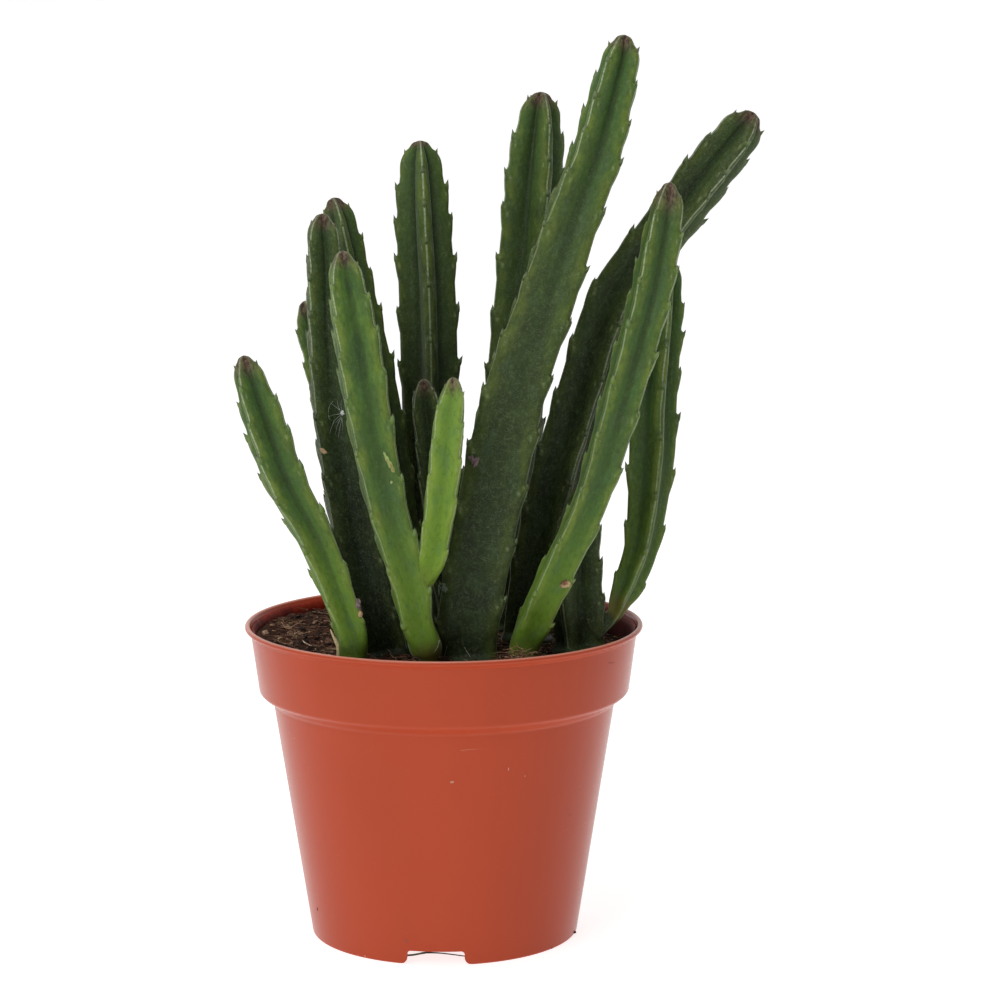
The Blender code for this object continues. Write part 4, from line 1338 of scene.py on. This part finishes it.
class StemForm:
    """The form of one stem: where its skin lies at a distance and a turn."""

    def __init__(self, stem, seed, root=0.0, parent=None):
        self.stem = stem
        self.seed = seed
        self.root = root
        self.parent = parent or stem
        self.distance, self.path, self.radii = walk(stem.route, parent is None)
        self.start, self.length = self.distance[0], self.distance[-1]
        self.rib_start = YOUNG_RIB_START if stem.youth > 0.5 else OLD_RIB_START
        draw = random.Random(seed)
        self.axils = [[] for _ in range(RIBS)]
        for count, ring in enumerate(tooth_rings(self.length)):
            for rib in TOOTHED_PAIRS[count % 2]:
                self.axils[rib].append(ring + TOOTH_AXIL + draw.gauss(0, AXIL_STRAY) * MM)

    def centre(self, s):
        """Points on the stem's axis."""
        return np.stack([np.interp(s, self.distance, self.path[:, k]) for k in range(3)], -1)

    def frame(self, s):
        """Arrays of point, rib radius, direction along, direction of rib 0 and aside."""
        point = self.centre(s)
        radius = np.interp(s, self.distance, self.radii)
        ahead = self.centre(s + AHEAD) - self.centre(s - AHEAD)
        along = ahead / np.linalg.norm(ahead, axis=-1, keepdims=True)
        share = np.clip(s / self.length, 0, 1)
        turn = np.radians(self.stem.turn + self.stem.twist * share)
        across = np.stack([np.cos(turn), np.sin(turn), np.zeros_like(turn)], -1)
        across -= along * np.sum(across * along, -1, keepdims=True)
        across /= np.linalg.norm(across, axis=-1, keepdims=True)
        return point, radius, along, across, np.cross(along, across)

    def outward(self, s, turn, across, aside):
        """The direction of a turn. Low down, the fourth rib may stand out of square."""
        off = (turn - 1.5 * math.pi + math.pi) % math.tau - math.pi
        near = np.where(np.abs(off) < math.pi / 2, np.cos(off) ** 2, 0)
        low = 1 - smooth_share((s / self.length - 0.3) / 0.7)
        turn = turn + math.radians(self.stem.skew) * near * low
        return across * np.cos(turn)[:, None] + aside * np.sin(turn)[:, None]

    def skin(self, s, turn):
        """The skin's points, with their relief: crest, edge of a tooth, distance off the crest."""
        point, rib_radius, along, across, aside = self.frame(s)
        below_tip = self.length - s
        under_tip = np.clip(below_tip, 0, TIP_ROUND)
        rib_radius = rib_radius * np.sqrt(under_tip * (2 * TIP_ROUND - under_tip)) / TIP_ROUND
        grown = smooth_share(s / self.rib_start)
        near_tip = 1 - smooth_share(below_tip / LOBE_ZONE[1])
        groove = 1 + (self.stem.groove - TIP_GROOVE * near_tip - 1) * grown
        crest = 0.5 + 0.5 * np.cos(RIBS * turn)
        old = smooth_share((below_tip - LOBE_ZONE[0]) / (LOBE_ZONE[1] - LOBE_ZONE[0]))
        lobe = YOUNG_LOBE_SHARPNESS if self.stem.youth > 0.5 else LOBE_SHARPNESS
        sharpness = lobe + (CREST_SHARPNESS - lobe) * old
        radius = rib_radius * (groove + (1 - groove) * crest ** sharpness)
        size = np.clip(rib_radius / FULL_TOOTH_R, 0, 1)
        radius = radius - CREST_DIP * crest ** 5 * grown * size
        edge = np.zeros_like(s)
        for rib, axils in enumerate(self.axils):
            offset = np.abs((turn - rib * math.tau / RIBS + math.pi) % math.tau - math.pi)
            for axil in axils:
                under = axil - s
                run = np.where(under >= 0, 1 - (under / SWELL_RUN) ** 1.5, 1 + under / SWELL_STEP)
                run = np.clip(run, 0, 1)
                spread = 1 + (SWELL_SPREAD - 1) * smooth_share(under / SWELL_RUN)
                beside = offset / (AXIL_WIDTH * spread)
                swell = run * smooth_share(1.4 - beside)
                radius = radius + SWELL_OUT * size * grown * swell
                rim = np.exp(-((beside - RIM_PLACE) / RIM_WIDTH) ** 2) * (under > -0.3 * MM)
                edge = np.maximum(edge, rim * smooth_share(1.4 * run - 0.3) * grown)
        below_mm = below_tip / MM
        rise = (APEX_RISE * crest * np.exp(-((below_mm - APEX_RISE_AT) / APEX_RISE_R) ** 2)
                - APEX_SINK * np.exp(-(below_mm / APEX_SINK_R) ** 2))
        out = self.outward(s, turn, across, aside)
        grain = np.stack([radius * np.cos(turn) / MM + PATTERN_STEP * self.seed,
                          radius * np.sin(turn) / MM, s / MM], -1)
        aside_mm = np.sqrt(np.clip(1 - crest, 0, 1)) * rib_radius / MM / 2
        relief = np.stack([crest * grown, edge, aside_mm + 2 * (1 - grown)], -1)
        return point + out * radius[:, None] + along * rise[:, None], relief, grain

    def growth(self, s):
        """Millimetres above the soil or the branch's root, millimetres below the tip, youth."""
        share = np.clip(s / self.length, 0, 1)
        own = self.stem.youth + self.stem.top * share ** 1.5
        out_of_parent = smooth_share((s - self.root) / (2 * MM) + 1)
        youth = self.parent.youth + (own - self.parent.youth) * out_of_parent
        return np.stack([(s - self.root) / MM, (self.length - s) / MM, youth], -1)


def ringed_cylinder(name, rings):
    """A unit cylinder with its side cut into rings."""
    deselect()
    bpy.ops.mesh.primitive_cylinder_add(vertices=STEM_SIDES, radius=1, depth=1,
                                        end_fill_type="TRIFAN", location=(0, 0, 0.5))
    made = settle(name)
    # One cut makes the coarse rings, and the next one cuts each of them finely
    fine = 4
    coarse = max(2, round(rings / fine))
    for parts in (coarse, fine):
        cut_edges(made, upright, parts - 1)
    return made


def build_skin(name, form, ring_step):
    """Move a ringed cylinder's points onto the stem's skin."""
    span = form.length - form.start
    piece = ringed_cylinder(name, span / ring_step)
    co = points_of(piece.data)
    middle = np.hypot(co[:, 0], co[:, 1]) < 0.5
    turn = np.arctan2(co[:, 1], co[:, 0])
    turn = turn - CREST_GATHER * np.sin(RIBS * turn) / RIBS
    back = (1 - co[:, 2]) * (span + TIP_GATHER - LAST_RING) + LAST_RING
    under_tip = back - TIP_GATHER * (1 - np.exp(-back / TIP_GATHER_ZONE))
    s = np.maximum(form.length - under_tip, form.start)
    skin, relief, grain = form.skin(s, turn)
    centre = form.frame(s)[0]
    centre[co[:, 2] > 0.5] = form.path[-1] - form.frame(s)[2][co[:, 2] > 0.5] * APEX_SINK
    skin[middle] = centre[middle]
    relief[middle, 0] = 0
    move_points(piece.data, skin)
    tone = (0, form.stem.bark, form.stem.brown)
    for name, values in zip(POINT_VALUES, (relief, grain, form.growth(s), tone)):
        write_values(piece.data, name, values)
    return piece


def tooth_pattern():
    """One tooth: a small fleshy leaf, keeled on its back, that narrows to a point."""
    deselect()
    bpy.ops.mesh.primitive_cone_add(vertices=8, radius1=1, radius2=0, depth=1,
                                    location=(0, 0, 0.5))
    tooth = settle("tooth_pattern")
    cut_edges(tooth, upright, 4)
    co = points_of(tooth.data)
    x, y, z = co.T
    # Fuller than a cone, thin from back to front, and curved
    full = 1 + 0.5 * np.sin(math.pi * z)
    co = np.stack([x * full, y * full * 0.62 - 0.3 * z ** 2, z], -1)
    move_points(tooth.data, co)
    smooth(tooth)
    return tooth


def build_teeth(form, pattern, length):
    """Copy the tooth to each axil, with its root sunk in the swelling."""
    draw = random.Random(form.seed + 500)
    share = points_of(pattern.data)[:, 2]
    made = []
    spots = [(rib, axil, 1.0) for rib, axils in enumerate(form.axils) for axil in axils]
    spots += [(rib, form.length - APEX_LEAF - rib % 2 * APEX_STAGGER, APEX_LEAF_SIZE)
              for rib in range(RIBS)]
    for rib, axil, grown in spots:
        s = np.array([axil - TOOTH_UNDER])
        turn = np.array([rib * math.tau / RIBS])
        spot = Vector(form.skin(s, turn)[0][0])
        _, rib_radius, along, across, aside = form.frame(s)
        out = Vector(form.outward(s, turn, across, aside)[0])
        up = Vector(along[0])
        side = up.cross(out)
        size = min(1.0, float(rib_radius[0]) / FULL_TOOTH_R) * draw.uniform(*TOOTH_SIZES) * grown
        lean = math.radians(draw.uniform(*(TOOTH_LEAN if grown == 1 else APEX_LEAN)))
        rise = up * math.cos(lean) + out * math.sin(lean)
        turned = Matrix((side, rise.cross(side), rise)).transposed().to_4x4()
        scale = Matrix.Diagonal((*(half * size for half in TOOTH_HALF), length * size, 1))
        matrix = Matrix.Translation(spot - out * TOOTH_IN * MM * size
                                    - up * TOOTH_DOWN * MM * size)
        tone = np.stack([share, 0 * share, 0 * share + form.stem.brown], -1)
        relief = np.stack([0 * share + 0.8, 0.4 * share, 0 * share + 1], -1)
        values = {"relief": relief, "tone": tone,
                  "grain": (axil / MM, rib * 9.0, form.seed * 5.0),
                  "growth": (axil / MM, (form.length - axil) / MM, form.stem.youth)}
        made.append(copy_of(pattern, matrix @ turned @ scale, values))
    return made


def grow_together(stem, branch):
    """Join a branch to its stem in one skin. Each point keeps the values it had."""
    places = np.vstack((points_of(stem.data), points_of(branch.data)))
    values = {name: np.vstack((read_values(stem.data, name), read_values(branch.data, name)))
              for name in POINT_VALUES}
    tree = KDTree(len(places))
    for i, place in enumerate(places):
        tree.insert(place, i)
    tree.balance()
    apply_modifier(stem, "BOOLEAN", operation="UNION", object=branch)
    remove_pieces(branch)
    nearest = [tree.find(place)[1] for place in points_of(stem.data)]
    for name in POINT_VALUES:
        write_values(stem.data, name, values[name][nearest])


def build_stems(settings):
    """Grow each stem with its branch and its teeth, and join them to one piece."""
    pattern = tooth_pattern()
    old_skin = skin_finish("old stem skin", settings)
    young_skin = skin_finish("young stem skin", settings)
    for seed, (node, stem) in enumerate(STEMS.items(), 1):
        form = StemForm(stem, seed)
        piece = build_skin(node + "_skin", form, settings.ring_step)
        teeth = build_teeth(form, pattern, settings.tooth)
        if node in BRANCHES:
            branch_form = StemForm(BRANCHES[node], seed + 20, BRANCH_ROOTS[node], stem)
            branch = build_skin(node + "_branch", branch_form, settings.ring_step)
            teeth += build_teeth(branch_form, pattern, settings.tooth)
            grow_together(piece, branch)
        co = points_of(piece.data)
        co[:, 0] += POT_X
        move_points(piece.data, co)
        for tooth in teeth:
            tooth.data.transform(Matrix.Translation((POT_X, 0, 0)))
        smooth(piece)
        piece = join_pieces(node + "_skin", [piece] + teeth)
        if node in YOUNG_STEMS:
            finish_piece(piece, young_skin, "young_stem", node)
        else:
            finish_piece(piece, old_skin, "old_stem", node)
    remove_pieces(pattern)


def knob_pattern(name, seed, knobs=0.5):
    """A ball with soft knobs on it, like a resting bud or healed skin."""
    deselect()
    bpy.ops.mesh.primitive_ico_sphere_add(subdivisions=4, radius=1)
    knob = settle(name)
    co = points_of(knob.data)
    for i, point in enumerate(co):
        place = Vector(point)
        swell = noise.noise(place * 1.5 + Vector((seed, 0, 0)))
        swell += 0.4 * noise.noise(place * 4 + Vector((0, seed, 0)))
        co[i] = place * (1 + knobs * swell)
    move_points(knob.data, co)
    smooth(knob)
    return knob


def standing(place, normal, mark):
    """The matrix that stands a pattern on a surface, at a mark's size and turn."""
    across, along, proud = (value * MM for value in mark.size)
    return (Matrix.Translation(place) @ normal.to_track_quat("Z", "Y").to_matrix().to_4x4()
            @ Matrix.Rotation(math.radians(mark.turn), 4, "Z")
            @ Matrix.Diagonal((across, along, proud, 1)))


def set_marks(name, marks, pattern, finish, slot, painted_shading=1.0):
    """Stand one copy of a pattern at each mark, and remove the pattern."""
    copies = []
    painted_shading = np.broadcast_to(painted_shading, len(pattern.data.vertices))
    for piece, on_piece in marks.items():
        for mark in on_piece:
            place, normal = seen_at(mark.pixel, [bpy.data.objects[piece]])
            tones = np.stack([mark.tone * painted_shading, 0 * painted_shading, 0 * painted_shading], -1)
            copies.append(copy_of(pattern, standing(place, normal, mark), {"tone": tones}))
    remove_pieces(pattern)
    return finish_piece(join_pieces(name, copies), finish, slot)


def line_on(name, pixels, piece, radius, lift, tone):
    """A fine tapered strand along pixels of the photograph, lying on a piece."""
    points = []
    for (x, y), (next_x, next_y) in zip(pixels, pixels[1:]):
        for k in range(STRAND_STEPS):
            share = k / STRAND_STEPS
            points.append((x + (next_x - x) * share, y + (next_y - y) * share))
    points.append(pixels[-1])
    places = []
    for pixel in points:
        place, normal = seen_at(pixel, [piece])
        places.append(place + normal * lift)
    # A strand bridges the small dips of the surface
    for _ in range(STRAND_PASSES):
        places = ([places[0]]
                  + [(a + b * 2 + c) / 4 for a, b, c in zip(places, places[1:], places[2:])]
                  + [places[-1]])
    last = len(places) - 1
    radii = [radius * (1 - 0.65 * (i / last) ** 2) for i in range(last + 1)]
    made = tube(name, places, radii)
    write_values(made.data, "tone", (tone, 0, 0))
    return made


def build_chips(settings):
    """The larger bits of bark, and one long pale fibre."""
    finish = litter_finish("dry bark chip", linear("3A281D"), linear("C7A287"))
    set_marks("soil_chips", CHIPS, crumb_pattern(9), finish, "soil")
    fibre = line_on("soil_pale_fibre", PALE_FIBRE, bpy.data.objects["soil_bed"], FIBRE_HALF,
                    FIBRE_LIFT, 1.0)
    finish_piece(fibre, litter_finish("bleached coir", linear("8A7058"), linear("DDC7AC")),
                 "soil")


def build_buds():
    """Resting buds on two stems."""
    finish = litter_finish("bud scales", linear("443C38"), linear("8C7878"))
    set_marks("stem_buds", BUDS, knob_pattern("bud_pattern", 3), finish, "old_stem")


def build_scars(settings):
    """Healed wounds: corky flecks, a ring with a pit, grazes, and a flap of dry skin."""
    cork = litter_finish("cork", linear("5A3B26"), tuple(settings.cork))
    set_marks("stem_scars", SCARS, knob_pattern("scar_pattern", 5, 0.35), cork, "young_stem")
    ring = turned_form("ring_pattern", RING_SIDES, RING_PROFILE)
    co = points_of(ring.data)
    # Painted light and shade: the scar's rim is painted dark above and pale below, and its pit is
    # dark, partly its own colour and partly painted shade
    painted_shading = np.clip(0.75 + 0.6 * co[:, 0] - 0.75 * co[:, 1], 0.05, 1.0)
    painted_shading = np.where(np.hypot(co[:, 0], co[:, 1] * 3) < 0.5, 0.0, painted_shading)
    for i, point in enumerate(co):
        co[i] = point * (1 + 0.3 * noise.noise(Vector(point) * 1.7))
    move_points(ring.data, co)
    smooth(ring)
    set_marks("stem_ring_scar", RING_SCAR, ring, cork, "young_stem", painted_shading)
    graze = litter_finish("healed graze", linear("8A6238"), linear("98A766"))
    set_marks("stem_grazes", GRAZES, knob_pattern("graze_pattern", 4, 0.4), graze,
              "young_stem")

    points = [Vector((POT_X + x * MM, y * MM, z * MM)) for x, y, z, _ in DRY_SKIN]
    flap = tube("stem_dry_skin", points, [half * MM for *_, half in DRY_SKIN], 12)
    apply_modifier(flap, "SUBSURF", levels=2, render_levels=2)
    co = points_of(flap.data)
    co[:, 1] = DRY_FOLD + (co[:, 1] - DRY_FOLD) * DRY_FLAT
    move_points(flap.data, co)
    write_values(flap.data, "tone", (0.85, 0, 0))
    smooth(flap)
    finish_piece(flap, litter_finish("dry skin", linear("7A6238"), linear("E0CFA0")),
                 "young_stem")


def build_hairs(settings):
    """White down on one stem, pale blades in an axil, and single hairs at the feet."""
    down = litter_finish("plant down", linear("5F6E5A"), tuple(settings.down))
    strands = []
    for piece, thickness, lift, tone, routes in HAIRS:
        for pixels in routes:
            strands.append(line_on(f"hair_{len(strands) + 1}", pixels, bpy.data.objects[piece],
                                   settings.hair * thickness, lift * MM, tone))
    finish_piece(join_pieces("stem_hairs", strands), down, "old_stem")
    set_marks("stem_fluff", TUFTS, knob_pattern("fluff_pattern", 8, 0.6), down, "old_stem")


def build_drain_roots():
    """Thin roots that have grown out through the floor and lie across the front slot."""
    strands = []
    for i, route in enumerate(DRAIN_ROOTS):
        points = [Vector((POT_X + x * MM, -math.sqrt(DRAIN_ROOT_R ** 2 - x * x) * MM, z * MM))
                  for x, z, _ in route]
        strand = tube(f"root_{i + 1}", points, [half * MM for *_, half in route], 8)
        apply_modifier(strand, "SUBSURF", levels=1, render_levels=1)
        write_values(strand.data, "tone", (0.4, 0, 0))
        strands.append(strand)
    roots = join_pieces("drain_roots", strands)
    smooth(roots)
    finish_piece(roots, litter_finish("living root", linear("232A20"), linear("5C5F4A")), "soil")


def build_specks(settings):
    """Dried splashes, a scratch, and a nick on the pot whose highlight is painted as a pale speck.
    """
    splash = litter_finish("dried splash", linear("2E211F"), linear("DDA08A"))
    set_marks("pot_specks", SPECKS, knob_pattern("speck_pattern", 6, 0.4), splash,
              "pot_plastic")
    scratch = line_on("pot_scratch", SCRATCH, bpy.data.objects["pot_shell"], settings.hair,
                      -settings.hair * 0.4, 0.8)
    finish_piece(scratch, splash, "pot_plastic")


def aim(place, target):
    """The turn of a light at a place that points at a target."""
    return (Vector(target) - Vector(place)).to_track_quat("-Z", "Y").to_euler()


def build_stage(settings):
    """A white floor, white surroundings, three soft lights and the camera."""
    deselect()
    bpy.ops.mesh.primitive_grid_add(x_subdivisions=8, y_subdivisions=8,
                                    size=settings.floor_size)
    floor = settle("studio_floor")
    floor.data.materials.append(floor_finish())

    # The backdrop is lit, and the room is dimmer on the camera's side and to the right
    world = bpy.data.worlds.new("white studio")
    bpy.context.scene.world = world
    world.use_nodes = True
    world.node_tree.nodes.clear()
    add = partial(add_node, world.node_tree)
    way = add("TexCoord", out="Generated")
    across, depth, _ = add("SeparateXYZ", (way,), "all")
    room = add("MapRange", (depth, ROOM_NEAR, ROOM_FAR, settings.room, settings.backdrop))
    side = add("MapRange", (across, -1.0, 1.0, LEFT_SHARE, RIGHT_SHARE),
               interpolation_type="LINEAR")
    strength = add("Math", (room, side))
    add("OutputWorld",
        (add("Background", {"Color": (1.0, 1.0, 1.0), "Strength": strength}),))

    for name, place, size, power in LIGHTS:
        turn = aim(place, (POT_X, 0, AIM_HEIGHT))
        bpy.ops.object.light_add(type="AREA", location=place, rotation=turn)
        light = bpy.context.object
        light.name = light.data.name = name
        light.data.shape = "SQUARE"
        light.data.size = size
        light.data.energy = getattr(settings, power)

    bpy.ops.object.camera_add()
    camera = bpy.context.object
    camera.name = camera.data.name = "photo_camera"
    camera.matrix_world = camera_matrix()
    camera.data.sensor_width = SENSOR
    camera.data.lens = LENS
    bpy.context.scene.camera = camera
    bpy.context.scene.view_settings.view_transform = "Standard"


class StapeliaOperator:
    bl_options = {"REGISTER", "UNDO"}


class STAPELIA_OT_pot(StapeliaOperator, bpy.types.Operator):
    """Build the moulded nursery pot with its lip, band, slots and drains"""
    bl_idname = "stapelia.pot"
    bl_label = "Pot"

    def execute(self, context):
        build_pot(context.scene.stapelia_pot)
        return {"FINISHED"}


class STAPELIA_OT_soil(StapeliaOperator, bpy.types.Operator):
    """Shade the inner wall with a dark film, fill the pot with peat, and scatter bark and coir on
    it
    """
    bl_idname = "stapelia.soil"
    bl_label = "Soil"

    def execute(self, context):
        settings = context.scene.stapelia_soil
        build_shade_film(context.scene.stapelia_pot)
        build_soil(settings, context.scene.stapelia_pot)
        build_crumbs(settings)
        build_fibres(settings)
        return {"FINISHED"}


class STAPELIA_OT_stems(StapeliaOperator, bpy.types.Operator):
    """Grow the ribbed stems with their teeth and branches"""
    bl_idname = "stapelia.stems"
    bl_label = "Stems"

    def execute(self, context):
        build_stems(context.scene.stapelia_stems)
        return {"FINISHED"}


class STAPELIA_OT_marks(StapeliaOperator, bpy.types.Operator):
    """Add the buds, scars, hairs, roots, chips and specks that show on the grown plant"""
    bl_idname = "stapelia.marks"
    bl_label = "Marks"

    def execute(self, context):
        settings = context.scene.stapelia_marks
        build_chips(context.scene.stapelia_soil)
        build_buds()
        build_scars(settings)
        build_hairs(settings)
        build_drain_roots()
        build_specks(settings)
        return {"FINISHED"}


class STAPELIA_OT_stage(StapeliaOperator, bpy.types.Operator):
    """Set up the white floor, the soft lights and the camera"""
    bl_idname = "stapelia.stage"
    bl_label = "Stage"

    def execute(self, context):
        build_stage(context.scene.stapelia_stage)
        return {"FINISHED"}


OPERATORS = (STAPELIA_OT_pot, STAPELIA_OT_soil, STAPELIA_OT_stems, STAPELIA_OT_marks,
             STAPELIA_OT_stage)
SETTINGS = {
    "stapelia_pot": PotSettings,
    "stapelia_soil": SoilSettings,
    "stapelia_stems": StemSettings,
    "stapelia_marks": MarkSettings,
    "stapelia_stage": StageSettings,
}


class STAPELIA_PT_panel(bpy.types.Panel):
    bl_label = "Potted stapelia"
    bl_idname = "STAPELIA_PT_panel"
    bl_space_type = "VIEW_3D"
    bl_region_type = "UI"
    bl_category = "Stapelia"

    def draw(self, context):
        for operator, (name, group) in zip(OPERATORS, SETTINGS.items()):
            box = self.layout.box()
            settings = getattr(context.scene, name)
            for key in group.__annotations__:
                box.prop(settings, key)
            box.operator(operator.bl_idname)


def register():
    for group in SETTINGS.values():
        bpy.utils.register_class(group)
    for name, group in SETTINGS.items():
        setattr(bpy.types.Scene, name, PointerProperty(type=group))
    for operator in OPERATORS:
        bpy.utils.register_class(operator)
    bpy.utils.register_class(STAPELIA_PT_panel)


def unregister():
    bpy.utils.unregister_class(STAPELIA_PT_panel)
    for operator in reversed(OPERATORS):
        bpy.utils.unregister_class(operator)
    for name in SETTINGS:
        delattr(bpy.types.Scene, name)
    for group in SETTINGS.values():
        bpy.utils.unregister_class(group)


def main():
    """Build the plant and its stage."""
    register()
    bpy.ops.stapelia.pot()
    bpy.ops.stapelia.soil()
    bpy.ops.stapelia.stems()
    bpy.ops.stapelia.marks()
    bpy.ops.stapelia.stage()
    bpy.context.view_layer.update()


if __name__ == "__main__":
    main()
